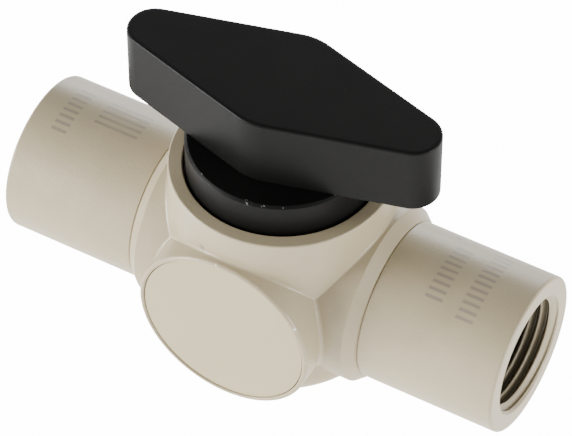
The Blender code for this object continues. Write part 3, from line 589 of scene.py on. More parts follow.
def port_side(length):
    """Outer side of one port, from its face in to the hub, as corners to be rounded."""
    return [
        (0.0, length, 0.0),
        (TUBE_RADIUS, length, PORT_ROUNDING),
        (TUBE_RADIUS, HUB_END + 2 * GROOVE, 0.0),
        (TUBE_RADIUS - GROOVE, HUB_END + GROOVE, 0.0),
        (HUB_FOOT, HUB_END, 0.08 * MM),
        (HUB_RADIUS, HUB_HALF_LENGTH, CREST),
    ]


right_side = port_side(RUN_HALF_LENGTH)
left_side = [(radius, -height, rounding) for radius, height, rounding in reversed(right_side)]
body = lathe("valve_body_moulding", soften(right_side + left_side), "+X", 192)
drum = lathe("drum", soften([
    (0.0, COLLAR_TOP, 0.0),
    (COLLAR_RADIUS, COLLAR_TOP, FINE),
    (COLLAR_RADIUS, -BODY_BOTTOM, BOTTOM_ROUNDING),
    (0.0, -BODY_BOTTOM, 0.0),
], 12), "+Z", 180)
boss = lathe("boss", soften([
    (0.0, BOSS_FACE, 0.0),
    (BOSS_RADIUS, BOSS_FACE, RIM_OUTSIDE),
    (BOSS_RADIUS, -SPARE, 0.0),
    (0.0, -SPARE, 0.0),
], 8), "-Y", 176)
back_side = port_side(BACK_PORT_LENGTH) + [(HUB_RADIUS, 0.0, 0.0), (0.0, 0.0, 0.0)]
back_port = lathe("back_port", soften(back_side), "+Y", 184)
print("bar", len(body.data.polygons), "faces, drum", len(drum.data.polygons))

# %% [markdown]
# ## Fillets where the cylinders cross
#
# A mould has no knife-sharp inner corners, so a soft fillet runs along every line where two of
# the cylinders meet. Bevelling Boolean edges breaks down on curved crossings. A fillet is
# the path of a ball rolled along the corner: its centre keeps the ball's radius from both
# surfaces, and its contact points are the fillet's edges. So each fillet is swept as a solid
# strip, from contact to contact round the ball, with its back buried in the body.

# %% Rolling ball fillets
HUB_FILLET_RIGHT = 0.35 * MM
HUB_FILLET_LEFT = 0.9 * MM     # plainly the larger one
BOSS_FILLET = 0.45 * MM
CORNER_FILLET = 0.6 * MM
STRIP_ARC = 7                  # points round the ball in each section
SINK = 0.012 * MM              # contact points lie this far inside the surfaces
BURY = 0.7 * MM                # back of the strip past the corner


def drum_offset(height, ball):
    """Distance of the ball's centre from the stem axis, rolling round the drum at a height."""
    rounding_height = BOTTOM_ROUNDING - BODY_BOTTOM
    if height >= rounding_height:
        return COLLAR_RADIUS + ball
    reach = BOTTOM_ROUNDING + ball
    return COLLAR_RADIUS - BOTTOM_ROUNDING + math.sqrt(reach**2 - (height - rounding_height) ** 2)


def drum_normal(centre):
    """Way out of the drum at the ball's contact."""
    rounding_height = BOTTOM_ROUNDING - BODY_BOTTOM
    out = Vector((centre.x, centre.y, 0.0))
    if centre.z >= rounding_height:
        return out.normalized()
    foot = out.normalized() * (COLLAR_RADIUS - BOTTOM_ROUNDING) + Vector((0, 0, rounding_height))
    return (centre - foot).normalized()


def fillet(name, centres, first_normal, second_normal, ball, loop):
    """Sweep the strip for a ball whose centres and contact normals are given."""
    build = bmesh.new()
    rows = []
    for centre in centres:
        one, two = first_normal(centre), second_normal(centre)
        opening = one.angle(two)
        section = []
        for step in range(STRIP_ARC):
            part = opening * step / (STRIP_ARC - 1)
            ray = (one * math.sin(opening - part) + two * math.sin(part)) / math.sin(opening)
            depth = ball + (SINK if step in (0, STRIP_ARC - 1) else 0.0)
            section.append(centre - ray * depth)
        section.append(centre - (one + two).normalized() * (ball / math.cos(opening / 2) + BURY))
        rows.append([build.verts.new(CROSSING + point) for point in section])
    skin(build, rows, wrap_rows=loop, wrap_columns=True)
    if not loop:
        build.faces.new(rows[0])
        build.faces.new(rows[-1])
    return new_object(name, build)


def round_x(centre):
    """Way out of a cylinder along X."""
    return Vector((0.0, centre.y, centre.z)).normalized()


def round_y(centre):
    """Way out of a cylinder along Y."""
    return Vector((centre.x, 0.0, centre.z)).normalized()


STEP_OFFSET = 0.37             # keeps the strip's points off the seams of the turned solids


def drum_fillet(name, axis, side, radius, ball, steps=150):
    """Fillet between the drum and a cylinder that leaves it along X or Y."""
    centres = []
    for step in range(steps):
        angle = 2 * math.pi * (step + STEP_OFFSET) / steps
        across, height = (radius + ball) * math.sin(angle), (radius + ball) * math.cos(angle)
        reach = side * math.sqrt(drum_offset(height, ball) ** 2 - across**2)
        centres.append(Vector((reach, across, height) if axis == "X" else (across, reach, height)))
    other = round_x if axis == "X" else round_y
    return fillet(name, centres, drum_normal, other, ball, loop=True)


def corner_fillet(name, side_x, side_y, radius_y, ball, reach=9 * MM, steps=60):
    """Upright fillet between the hub along X and a cylinder along Y."""
    centres = []
    for step in range(steps + 1):
        height = reach * (2 * step / steps - 1)
        x = side_x * math.sqrt((radius_y + ball) ** 2 - height**2)
        y = side_y * math.sqrt((HUB_RADIUS + ball) ** 2 - height**2)
        centres.append(Vector((x, y, height)))
    return fillet(name, centres, round_x, round_y, ball, loop=False)


strips = [
    drum_fillet("fillet_hub_right", "X", 1, HUB_RADIUS, HUB_FILLET_RIGHT),
    drum_fillet("fillet_hub_left", "X", -1, HUB_RADIUS, HUB_FILLET_LEFT),
    drum_fillet("fillet_boss", "Y", -1, BOSS_RADIUS, BOSS_FILLET),
    drum_fillet("fillet_back", "Y", 1, HUB_RADIUS, BOSS_FILLET),
]
for side_x in (-1, 1):
    strips.append(corner_fillet("fillet_front_corner", side_x, -1, BOSS_RADIUS, CORNER_FILLET))
    strips.append(corner_fillet("fillet_back_corner", side_x, 1, HUB_RADIUS, CORNER_FILLET))
carve(body, [drum, boss, back_port] + strips, "UNION")
print("outside of the body:", len(body.data.polygons), "faces from", 4 + len(strips), "solids")

# %% [markdown]
# ## Pipe threads
#
# The ports carry a G 3/8 internal thread: 19 turns to the inch, so a pitch of 1.337 mm, with
# rounded crests and roots. A thread can be faked with bump or with separate rings, but the
# mouth of a port shows its silhouette. The cutter here is the matching male screw. Its rows of
# points follow the helix, so each crest is one clean line, and the rows are clamped at both ends.

# %% A threaded port as one cutter
PITCH = 1.337 * MM
MOUTH_RADIUS = 8.45 * MM
MOUTH_CHAMFER = 1.0 * MM
BORE_RADIUS = 5.0 * MM
POCKET_RADIUS = 8.1 * MM
POCKET_START = 4.0 * MM
POCKET_DEPTH = 13.9 * MM
THREAD_END = 24.0 * MM         # in the run, measured from the crossing
BACK_THREAD_END = 15.5 * MM
CREST_FLAT = 0.1               # share of the half pitch that is flat at a crest and at a root
RUN_OUT_TURNS = 1.5
ROWS_PER_PITCH = 12
THREAD_SEGMENTS = 112


def thread_radius(angle, height, face, bottom):
    """Radius of the male screw at an angle and a height along the port."""
    phase = (height / PITCH - angle / (2 * math.pi)) % 1.0
    flank = min(max((1 - abs(2 * phase - 1) - CREST_FLAT) / (1 - 2 * CREST_FLAT), 0.0), 1.0)
    crest = (flank + flank * flank * (3 - 2 * flank)) / 2
    run_out = min((height - bottom) / (RUN_OUT_TURNS * PITCH), 1.0)
    thread = THREAD_MINOR + (THREAD_MAJOR - THREAD_MINOR) * crest * run_out
    mouth = MOUTH_RADIUS + (THREAD_MINOR - MOUTH_RADIUS) * (face - height) / MOUTH_CHAMFER
    return max(thread, mouth)


def port_cutter(name, axis, face, bottom):
    """Mouth, thread, waterway and seat pocket of one port, from outside in."""
    build = bmesh.new()
    turns = [2 * math.pi * step / THREAD_SEGMENTS for step in range(THREAD_SEGMENTS + 1)]

    def ring(radius, height):
        """A plain row, where the cutter is not threaded."""
        return [build.verts.new(on_axis(axis, radius, angle, height)) for angle in turns]

    rows = [ring(0.0, face + SPARE), ring(MOUTH_RADIUS, face + SPARE)]
    count = int((face - bottom + PITCH) / PITCH * ROWS_PER_PITCH) + 2
    for index in range(count):
        start = face - index * PITCH / ROWS_PER_PITCH
        row = []
        for angle in turns:
            height = min(max(start + PITCH * angle / (2 * math.pi), bottom), face)
            radius = thread_radius(angle, height, face, bottom)
            row.append(build.verts.new(on_axis(axis, radius, angle, height)))
        rows.append(row)
    shoulder = bottom - (THREAD_MINOR - BORE_RADIUS) / 2
    inner = (
        (BORE_RADIUS, max(shoulder, POCKET_DEPTH + TINY)),
        (BORE_RADIUS, POCKET_DEPTH),
        (POCKET_RADIUS, POCKET_DEPTH),
        (POCKET_RADIUS, POCKET_START),
        (0.0, POCKET_START),
    )
    rows += [ring(radius, height) for radius, height in inner]
    skin(build, rows, wrap_rows=False, wrap_columns=False)
    return new_object(name, build)


BALL_RADIUS = 9.0 * MM
CHAMBER_RADIUS = 9.5 * MM
DOME_RADIUS = 9.6 * MM
PLUG_LEDGE = 13.3 * MM
SEAL_INNER = 9.875 * MM        # groove of the plug's seal: two radii and its floor
SEAL_OUTER = 11.275 * MM
SEAL_FLOOR = 12.2 * MM
STEM_RADIUS = 4.0 * MM
NECK_RADIUS = 8.0 * MM
NECK_TOP = 19.7 * MM
NECK_LEDGE = 13.7 * MM
NECK_BORE = 4.4 * MM
SEAL_CHAMBER = 6.2 * MM
FLANGE_CEILING = 12.5 * MM
FLANGE_RECESS = 6.4 * MM
FLANGE_FLOOR = 7.7 * MM
RIM_ROUNDING = 0.22 * MM       # inner edge of the boss's rim


def quarter_turn(steps):
    """Angles from 0 to a right angle."""
    return [math.pi / 2 * step / steps for step in range(steps + 1)]


def half_circle(radius, steps):
    """Outline of a sphere round the crossing, from its top to its bottom."""
    angles = [math.pi * step / steps for step in range(steps + 1)]
    return [(radius * math.sin(angle), radius * math.cos(angle)) for angle in angles]


rim_edge = [
    (BOSS_INNER + RIM_ROUNDING * (1 - math.sin(turn)), BOSS_FACE - RIM_ROUNDING * (1 - math.cos(turn)))
    for turn in quarter_turn(5)
]
cutters = [
    port_cutter("right_port", "+X", RUN_HALF_LENGTH, THREAD_END),
    port_cutter("left_port", "-X", RUN_HALF_LENGTH, THREAD_END),
    port_cutter("back_port", "+Y", BACK_PORT_LENGTH, BACK_THREAD_END),
    lathe("dome", half_circle(DOME_RADIUS, 24), "+Z", 60),
    lathe("front_bore", [
        (0.0, BOSS_FACE + SPARE),
        (BOSS_INNER + RIM_ROUNDING, BOSS_FACE + SPARE),
    ] + rim_edge + [
        (BOSS_INNER, PLUG_LEDGE),
        (SEAL_OUTER, PLUG_LEDGE),
        (SEAL_OUTER, SEAL_FLOOR),
        (SEAL_INNER, SEAL_FLOOR),
        (SEAL_INNER, PLUG_LEDGE),
        (CHAMBER_RADIUS, PLUG_LEDGE),
        (CHAMBER_RADIUS, SPARE),
        (0.0, SPARE),
    ], "-Y", 168),
    lathe("neck_bore", [
        (0.0, COLLAR_TOP + SPARE),
        (COLLAR_BORE + SLIGHT, COLLAR_TOP + SPARE),
        (COLLAR_BORE + SLIGHT, COLLAR_TOP),
        (COLLAR_BORE, COLLAR_TOP - SLIGHT),
        (COLLAR_BORE, RECESS_FLOOR),
        (SEAL_CHAMBER, RECESS_FLOOR),
        (SEAL_CHAMBER, NECK_LEDGE),
        (NECK_BORE, NECK_LEDGE),
        (NECK_BORE, FLANGE_CEILING),
        (FLANGE_RECESS, FLANGE_CEILING),
        (FLANGE_RECESS, FLANGE_FLOOR),
        (0.0, FLANGE_FLOOR),
    ], "+Z", 152),
]
carve(body, cutters, "DIFFERENCE")
print("body with its ports:", len(body.data.polygons), "faces")

# %% [markdown]
# ## The neck and the stop ribs
#
# Inside the collar stands a short tube that holds the stem seals, and beside it two ribs. A lug
# under the knob strikes one rib or the other, which limits the turn to a quarter. They are
# added after the cut, because they stand in the space that was cut away.

# %% Neck and stops
SKIRT_INNER = 11.2 * MM
STOP_ANGLES = (184.0, 306.0)   # degrees round the stem
STOP_HALF_ANGLE = 6.0
STOP_TOP = 17.1 * MM
JOIN = 0.2 * MM                # how far joined solids run into each other
CLEARANCE = 0.3 * MM           # between pieces that move or slide together


def sector(name, inner, outer, middle, half, bottom, top, steps=8):
    """A block bent round the stem axis between two radii and two angles in degrees."""
    build = bmesh.new()
    rows = []
    for step in range(steps + 1):
        angle = math.radians(middle + half * (2 * step / steps - 1))
        corners = ((inner, bottom), (outer, bottom), (outer, top), (inner, top))
        rows.append([build.verts.new(on_axis("+Z", radius, angle, height)) for radius, height in corners])
    skin(build, rows, wrap_rows=False, wrap_columns=True)
    build.faces.new(rows[0])
    build.faces.new(rows[-1])
    return new_object(name, build)


additions = [lathe("neck", soften([
    (NECK_RADIUS, NECK_TOP, SLIGHT),
    (NECK_RADIUS, RECESS_FLOOR - JOIN, 0.0),
    (SEAL_CHAMBER, RECESS_FLOOR - JOIN, 0.0),
    (SEAL_CHAMBER, NECK_TOP, SLIGHT),
]), "+Z", 128)]
for angle in STOP_ANGLES:
    additions.append(sector(
        "stop", NECK_RADIUS - JOIN, SKIRT_INNER - CLEARANCE,
        angle, STOP_HALF_ANGLE, RECESS_FLOOR - JOIN, STOP_TOP,
    ))
carve(body, additions, "UNION")
smooth(body)
# each: axis of the circle, its radius, its height, width of the band, share that is worn
BOSS_NICKS = ("Y", 12.5 * MM, -BOSS_FACE, 0.5 * MM, 0.36)
COLLAR_NICKS = ("Z", COLLAR_RADIUS - 0.1 * MM, COLLAR_TOP, 0.3 * MM, 0.34)
BODY_PLASTIC = moulded(
    "body_plastic", (0.385, 0.32, 0.20), (0.45, 0.38, 0.245), (0.27, 0.40), 0.00003, (0.25, 0.21, 0.16),
    circles=(BOSS_NICKS, COLLAR_NICKS),
)
mark_body(BODY_PLASTIC)
settle(body, "body", BODY_PLASTIC, "body_plastic", "valve_body")
print("finished body:", len(body.data.polygons), "faces")

# %% [markdown]
# ## The plug and its seal
#
# The front boss is the mould's fourth opening, closed for a three way valve by a disc with a cup
# behind it that holds the front seat. From outside only its face shows, inside a thin
# bright rim. The narrow gap between the two is a real gap, because a painted line would not
# catch the light on one side and the shade on the other.

# %% Front plug
CUP_RADIUS = 9.15 * MM
CUP_START = 9.2 * MM
PLUG_THICKNESS = 2.4 * MM
PLUG_EDGE = BOSS_INNER - 0.08 * MM     # the seam that shows round the plug
plug = lathe("front_plug_disc", soften([
    (0.0, PLUG_FACE, 0.0),
    (PLUG_EDGE, PLUG_FACE, TINY),
    (PLUG_EDGE, PLUG_FACE - PLUG_THICKNESS, TINY),
    (CUP_RADIUS, PLUG_FACE - PLUG_THICKNESS, 0.0),
    (CUP_RADIUS, CUP_START, FINE),
    (POCKET_RADIUS, CUP_START, FINE),
    (POCKET_RADIUS, POCKET_DEPTH, 0.0),
    (0.0, POCKET_DEPTH, 0.0),
]), "-Y", 176)
smooth(plug)
PLUG_PLASTIC = moulded(
    "plug_plastic", (0.44, 0.37, 0.215), (0.49, 0.417, 0.25), (0.34, 0.44), 0.00001, (0.28, 0.24, 0.19),
    cloud_scale=45.0, speck_amount=0.01,
)
settle(plug, "body", PLUG_PLASTIC, "plug_plastic", "front_plug")
print("plug face", round(2 * PLUG_RADIUS / MM, 1), "mm across")

# %% [markdown]
# ## Rubber rings
#
# Every O-ring is the same idea at another size: a round section turned about its port's axis,
# with the moulding's parting line as a tiny ridge on its outside and inside. The packed
# model's box gives each ring's place and outer radius, so one loop makes all seven.

# %% O-rings
RIDGE = 0.02 * MM              # parting line
RING_SIDES = 20
SEATS = (("left", "-X"), ("right", "+X"), ("back", "+Y"), ("front", "-Y"))


def middle_of(name):
    """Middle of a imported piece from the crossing, and its size."""
    low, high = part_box(name)
    return (low + high) / 2 - CROSSING, high - low


def o_ring(name, axis, section):
    """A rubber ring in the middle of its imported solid, parting ridge included."""
    centre, size = middle_of(name)
    height = abs(centre.x) + abs(centre.y) if axis != "+Z" else centre.z
    outer = max(size) / 2
    middle = outer - section / 2
    circle = []
    for step in range(RING_SIDES):
        angle = 2 * math.pi * step / RING_SIDES
        reach = section / 2 - RIDGE + (RIDGE if step in (0, RING_SIDES // 2) else 0.0)
        circle.append((middle + reach * math.cos(angle), height + reach * math.sin(angle)))
    made = lathe(name + "_rubber", circle, axis, 96)
    return smooth(made, 60)


SEAL_RUBBER = moulded(
    "seal_rubber", (0.012, 0.012, 0.012), (0.022, 0.021, 0.02), (0.5, 0.65), 0.00001, (0.10, 0.10, 0.095),
    speck_amount=0.05,
)
RINGS = [
    ("front_plug_seal", "-Y", 1.0 * MM),
    ("stem_seal_lower", "+Z", 1.6 * MM),
    ("stem_seal_upper", "+Z", 1.6 * MM),
]
RINGS += [(f"{side}_seat_backing_ring", axis, 1.4 * MM) for side, axis in SEATS]
for name, axis, section in RINGS:
    settle(o_ring(name, axis, section), "body", SEAL_RUBBER, "seal_rubber", name)
print(len(RINGS), "rubber rings")

# %% [markdown]
# ## Turned marks
#
# Seats, washers, the gland and the stem come off a lathe, or from a mould that did. They carry
# very fine rings about their axis. A wave texture along the radius would do for one piece,
# but the axis differs from piece to piece, so the group takes the distance from the axis and
# the height along it as sockets, and gives a height for the bump.

# %% The turned marks group
def turned_group():
    """Fine rings about an axis: a height for the bump and a tone."""
    tree, entry, leave = new_group(
        "turned_marks", {"Radius": 0.0, "Height": 0.0, "Pitch": 0.00012}, ["Ridges", "Tone"])
    spread = node(tree, "ShaderNodeTexNoise", noise_dimensions="1D", inputs={"Scale": 4000.0, "Detail": 2.0})
    total = math_node(tree, "ADD", (entry, "Radius"), (entry, "Height"))
    turns = math_node(tree, "DIVIDE", total, (entry, "Pitch"))
    wave = math_node(tree, "SINE", math_node(tree, "MULTIPLY", turns, 2 * math.pi))
    wire(tree, total, (spread, "W"))
    wire(tree, math_node(tree, "MULTIPLY_ADD", wave, 0.25, 0.5), (leave, "Ridges"))
    wire(tree, (spread, "Fac"), (leave, "Tone"))
    return tree


TURNED = turned_group()


def turned_finish(name, axis, dark, light, gloss, ridge, metallic=0.0):
    """A turned surface: tones and ridges in rings about X, Y or Z."""
    made = bpy.data.materials.new(name + "_finish")
    made.use_nodes = True
    tree = made.node_tree
    shader = tree.nodes["Principled BSDF"]
    place = node(tree, "ShaderNodeTexCoord")
    lowered = node(tree, "ShaderNodeVectorMath", operation="SUBTRACT")
    lowered.inputs[1].default_value = CROSSING
    across = node(tree, "ShaderNodeVectorMath", operation="MULTIPLY")
    across.inputs[1].default_value = [0.0 if letter == axis else 1.0 for letter in "XYZ"]
    radius = node(tree, "ShaderNodeVectorMath", operation="LENGTH")
    parts = node(tree, "ShaderNodeSeparateXYZ")
    marks = group_node(tree, TURNED)
    wire(tree, (place, "Object"), (lowered, 0))
    wire(tree, (lowered, "Vector"), (across, 0))
    wire(tree, (across, "Vector"), (radius, 0))
    wire(tree, (lowered, "Vector"), (parts, "Vector"))
    wire(tree, (radius, "Value"), (marks, "Radius"))
    wire(tree, (parts, axis), (marks, "Height"))
    wire(tree, tint(tree, (marks, "Tone"), dark, light), (shader, "Base Color"))
    wire(tree, scaled(tree, (marks, "Tone"), *gloss), (shader, "Roughness"))
    bump = node(tree, "ShaderNodeBump", inputs={"Distance": ridge})
    wire(tree, (marks, "Ridges"), (bump, "Height"))
    wire(tree, (bump, "Normal"), (shader, "Normal"))
    shader.inputs["Metallic"].default_value = metallic
    return made


FLUOROPOLYMER = {}
for axis in "XYZ":
    FLUOROPOLYMER[axis] = turned_finish(
        f"fluoropolymer_{axis.lower()}", axis, (0.78, 0.78, 0.75), (0.84, 0.84, 0.81), (0.3, 0.42), 0.000008)
print("turned finishes:", [made.name for made in FLUOROPOLYMER.values()])

# %% [markdown]
# ## Seats and washers
#
# Four fluoropolymer seats press on the ball. Each has a nose whose face is a true zone of a
# sphere, so it seals on the ball, and a flange that an O-ring pushes from behind. The curved
# face is computed from the ball's radius.

# %% Seats, thrust washer, spacer and gland
SEAT_NOSE = 6.3 * MM
SEAT_BORE = 5.2 * MM
SEAT_FLANGE = 7.8 * MM
SEAT_START = 9.9 * MM
SEAT_BACK = 11.9 * MM
FACE_RADIUS = BALL_RADIUS + CLEARANCE
FACE_STEPS = 6


def seat_profile():
    """Outline of a seat, from its back flange round the nose to the bore."""
    corners = [
        (SEAT_FLANGE, SEAT_BACK, SLIGHT),
        (SEAT_FLANGE, SEAT_START, SLIGHT),
        (SEAT_NOSE, SEAT_START, TINY),
    ]
    for step in range(FACE_STEPS + 1):
        radius = SEAT_NOSE + (SEAT_BORE - SEAT_NOSE) * step / FACE_STEPS
        corners.append((radius, math.sqrt(FACE_RADIUS**2 - radius**2), 0.0))
    corners.append((SEAT_BORE, SEAT_BACK, SLIGHT))
    return soften(corners)


for side, axis in SEATS:
    seat = smooth(lathe(f"{side}_seat_turned", seat_profile(), axis, 96))
    settle(seat, "body", FLUOROPOLYMER[axis[1]], "seat_fluoropolymer", f"{side}_seat_ring")


WASHER_EDGE = 0.08 * MM        # rounding of a washer's corners


def flat_ring(name, inner, material, slot_name):
    """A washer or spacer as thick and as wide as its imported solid."""
    centre, size = middle_of(name)
    half = size.z / 2
    corners = ((size.x / 2, half), (size.x / 2, -half), (inner, -half), (inner, half))
    outline = soften([(radius, centre.z + height, WASHER_EDGE) for radius, height in corners])
    made = lathe(name + "_fine", outline, "+Z", 96)
    settle(smooth(made), "body", material, slot_name, name)


GLAND_PLASTIC = moulded(
    "gland_plastic", (0.03, 0.03, 0.031), (0.045, 0.045, 0.046), (0.35, 0.5), 0.00001, (0.2, 0.2, 0.19),
)
STEM_HOLE = 4.3 * MM           # clear of the stem
GLAND_FLANGE = 7.8 * MM
GLAND_LEDGE = 20.0 * MM        # where the flange sits above the neck
GLAND_SLEEVE = 5.9 * MM
gland_low, gland_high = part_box("gland_ring")
GLAND_BOTTOM = gland_low.z - CROSSING.z
GLAND_TOP = gland_high.z - CROSSING.z
flat_ring("stem_thrust_washer", STEM_HOLE, FLUOROPOLYMER["Z"], "seat_fluoropolymer")
flat_ring("stem_spacer_ring", STEM_HOLE, GLAND_PLASTIC, "gland_plastic")
gland = lathe("gland_ring_fine", soften([
    (GLAND_FLANGE, GLAND_TOP, SLIGHT),
    (GLAND_FLANGE, GLAND_LEDGE, TINY),
    (GLAND_SLEEVE, GLAND_LEDGE, 0.0),
    (GLAND_SLEEVE, GLAND_BOTTOM, TINY),
    (STEM_HOLE, GLAND_BOTTOM, TINY),
    (STEM_HOLE, GLAND_TOP, TINY),
]), "+Z", 96)
settle(smooth(gland), "body", GLAND_PLASTIC, "gland_plastic", "gland_ring")
print("seats, washer, spacer and gland in place")

# %% [markdown]
# ## The ball
#
# The ball is a sphere with one bent waterway, an L that joins two neighbouring ports, and a slot
# on top for the stem's tang. The bend is a round tube swept round a quarter circle. It cuts
# the sphere in one go, where two straight drillings would leave a sharp corner in the flow.

# %% Ball with its L-shaped waterway
ELBOW_BEND = 5.6 * MM          # radius of the waterway's bend, along its middle
SLOT_LENGTH = 8.6 * MM
SLOT_WIDTH = 3.6 * MM
SLOT_BOTTOM = 6.1 * MM


def swept_tube(name, path, radius, sides=64):
    """A round tube along a flat path of (point, direction) pairs, with flat ends."""
    build = bmesh.new()
    rows = []
    for point, direction in path:
        side = direction.cross(Vector((0, 0, 1))).normalized()
        angles = [2 * math.pi * step / sides for step in range(sides)]
        rows.append([
            build.verts.new(point + radius * (math.cos(angle) * side + math.sin(angle) * Vector((0, 0, 1))))
            for angle in angles
        ])
    skin(build, rows, wrap_rows=False, wrap_columns=True)
    build.faces.new(rows[0])
    build.faces.new(rows[-1])
    return new_object(name, build)


def elbow_path(bend, reach, steps=16):
    """From outside the right port round a quarter turn to outside the back port."""
    path = [(CROSSING + Vector((reach, 0, 0)), Vector((-1, 0, 0)))]
    for step in range(steps + 1):
        angle = math.pi / 2 * step / steps
        centre = Vector((bend - bend * math.sin(angle), bend - bend * math.cos(angle), 0))
        path.append((CROSSING + centre, Vector((-math.cos(angle), math.sin(angle), 0))))
    path.append((CROSSING + Vector((0, reach, 0)), Vector((0, 1, 0))))
    return path


def block(name, length, width, bottom, top, rounding=0.0):
    """A box centred on the stem axis, with bevelled edges if asked; heights are from the crossing."""
    build = bmesh.new()
    bmesh.ops.create_cube(build, size=1.0)
    bmesh.ops.scale(build, vec=(length, width, top - bottom), verts=build.verts)
    middle = (CROSSING.x, CROSSING.y, (bottom + top) / 2 + CROSSING.z)
    bmesh.ops.translate(build, vec=middle, verts=build.verts)
    if rounding:
        bmesh.ops.bevel(
            build, geom=build.edges[:], offset=rounding, segments=3, profile=0.5, affect="EDGES")
    return new_object(name, build)


ball = lathe("ball_polished", half_circle(BALL_RADIUS, 48), "+Z", 96)
waterway = swept_tube("waterway", elbow_path(ELBOW_BEND, BALL_RADIUS + SPARE), BORE_RADIUS)
slot = block("slot", SLOT_LENGTH, SLOT_WIDTH, SLOT_BOTTOM, BALL_RADIUS + SPARE)
carve(ball, [waterway, slot], "DIFFERENCE")
BALL_PLASTIC = moulded(
    "ball_plastic", (0.55, 0.50, 0.41), (0.60, 0.55, 0.46), (0.12, 0.2), 0.000003, (0.35, 0.31, 0.25),
    speck_amount=0.005, sheen=0.6,
)
settle(smooth(ball), "rotor", BALL_PLASTIC, "ball_plastic", "ball")
print("ball:", len(ball.data.polygons), "faces")

# %% [markdown]
# ## The stem
#
# One turned rod: a tang for the ball's slot, a flange that the washer bears on, a shaft through
# the seals, a square for the knob and a tip with a groove for the snap ring. The round parts
# are turned, and the square and the tang are bevelled blocks joined on, as they would be
# milled from the same rod.

# %% Stem
STEM_TOP = stem_high.z - CROSSING.z
STEM_TIP = 2.9 * MM
STEM_FLANGE = 5.9 * MM
FLANGE_BOTTOM = 9.7 * MM
FLANGE_TOP = 11.3 * MM
TANG_LENGTH = 8.0 * MM
TANG_WIDTH = 3.0 * MM
SQUARE = 6.0 * MM
SQUARE_BOTTOM = GLAND_TOP + 0.2 * MM
SQUARE_TOP = STEM_TOP - 3.6 * MM
GROOVE_HEIGHT = (SQUARE_TOP + STEM_TOP) / 2
GROOVE_HALF = 0.8 * MM
GROOVE_RADIUS = 2.2 * MM
STEM_SHOULDER = 0.5 * MM       # cone between the shaft and the square
STEM_ROUNDING = 0.3 * MM
CRISP = 0.05 * MM              # rounding of the sharpest corners
stem = lathe("stem_turned", soften([
    (0.0, STEM_TOP, 0.0),
    (STEM_TIP, STEM_TOP, STEM_ROUNDING),
    (STEM_TIP, GROOVE_HEIGHT + GROOVE_HALF, CRISP),
    (GROOVE_RADIUS, GROOVE_HEIGHT + GROOVE_HALF, TINY),
    (GROOVE_RADIUS, GROOVE_HEIGHT - GROOVE_HALF, TINY),
    (STEM_TIP, GROOVE_HEIGHT - GROOVE_HALF, CRISP),
    (STEM_TIP, SQUARE_BOTTOM, 0.0),
    (STEM_RADIUS, SQUARE_BOTTOM - STEM_SHOULDER, TINY),
    (STEM_RADIUS, FLANGE_TOP, SLIGHT),
    (STEM_FLANGE, FLANGE_TOP, SLIGHT),
    (STEM_FLANGE, FLANGE_BOTTOM, SLIGHT),
    (0.0, FLANGE_BOTTOM, 0.0),
]), "+Z", 90)
square = block("square", SQUARE, SQUARE, SQUARE_BOTTOM - JOIN, SQUARE_TOP, FINE)
tang = block(
    "tang", TANG_LENGTH, TANG_WIDTH,
    stem_low.z - CROSSING.z, FLANGE_BOTTOM + JOIN, SLIGHT,
)
carve(stem, [square, tang], "UNION")
STEM_PLASTIC = turned_finish(
    "stem_plastic", "Z", (0.56, 0.52, 0.43), (0.60, 0.56, 0.47), (0.22, 0.34), 0.000006)
settle(smooth(stem), "rotor", STEM_PLASTIC, "stem_plastic", "stem")
print("stem:", len(stem.data.polygons), "faces")

# %% [markdown]
# ## The knob
#
# The knob is one black moulding: a round skirt that turns inside the collar, and a long lozenge
# grip on top that points along the run. The lozenge is four arcs joined by their common
# tangents. Taking the same length off all four radii keeps the tangents, so inset outlines for the
# rounded top edge come from the same function, and the edge is lofted, not bevelled.

# %% Lozenge outline and its loft
SKIRT_RADIUS = 12.75 * MM
SKIRT_TOP = 22.55 * MM
SKIRT_CEILING = 21.3 * MM
TIP_CENTRE = 18.95 * MM
TIP_RADIUS = 3.67 * MM
SIDE_CENTRE = 1.07 * MM
SIDE_RADIUS = 7.65 * MM
GRIP_EDGE = 0.4 * MM           # rounding of the grip's top edge
GRIP_TUCK = 0.2 * MM           # how far its foot draws in where it meets the skirt
GRIP_BORDER = 0.3 * MM         # width of the row of faces inside the top edge
GRIP_WALL = 1.8 * MM
TIP_STEPS = 28
SIDE_STEPS = 16


def lozenge(inset):
    """The grip from above, drawn inside the full outline by the inset."""
    between = math.hypot(TIP_CENTRE, SIDE_CENTRE)
    turn = math.acos((SIDE_RADIUS - TIP_RADIUS) / between) - math.atan2(SIDE_CENTRE, TIP_CENTRE)
    arcs = (
        (TIP_CENTRE, 0.0, TIP_RADIUS, -turn, turn, TIP_STEPS),
        (0.0, SIDE_CENTRE, SIDE_RADIUS, turn, math.pi - turn, SIDE_STEPS),
        (-TIP_CENTRE, 0.0, TIP_RADIUS, math.pi - turn, math.pi + turn, TIP_STEPS),
        (0.0, -SIDE_CENTRE, SIDE_RADIUS, math.pi + turn, 2 * math.pi - turn, SIDE_STEPS),
    )
    points = []
    for x, y, radius, start, end, steps in arcs:
        for step in range(steps + 1):
            angle = start + (end - start) * step / steps
            reach = radius - inset
            points.append((x + reach * math.cos(angle), y + reach * math.sin(angle)))
    return points


def loft(name, layers):
    """Stack outlines given as (inset, height) and close both ends."""
    build = bmesh.new()
    rows = []
    for inset, height in layers:
        rows.append([build.verts.new(CROSSING + Vector((x, y, height))) for x, y in lozenge(inset)])
    skin(build, rows, wrap_rows=False, wrap_columns=True)
    build.faces.new(rows[0])
    build.faces.new(rows[-1])
    return new_object(name, build)


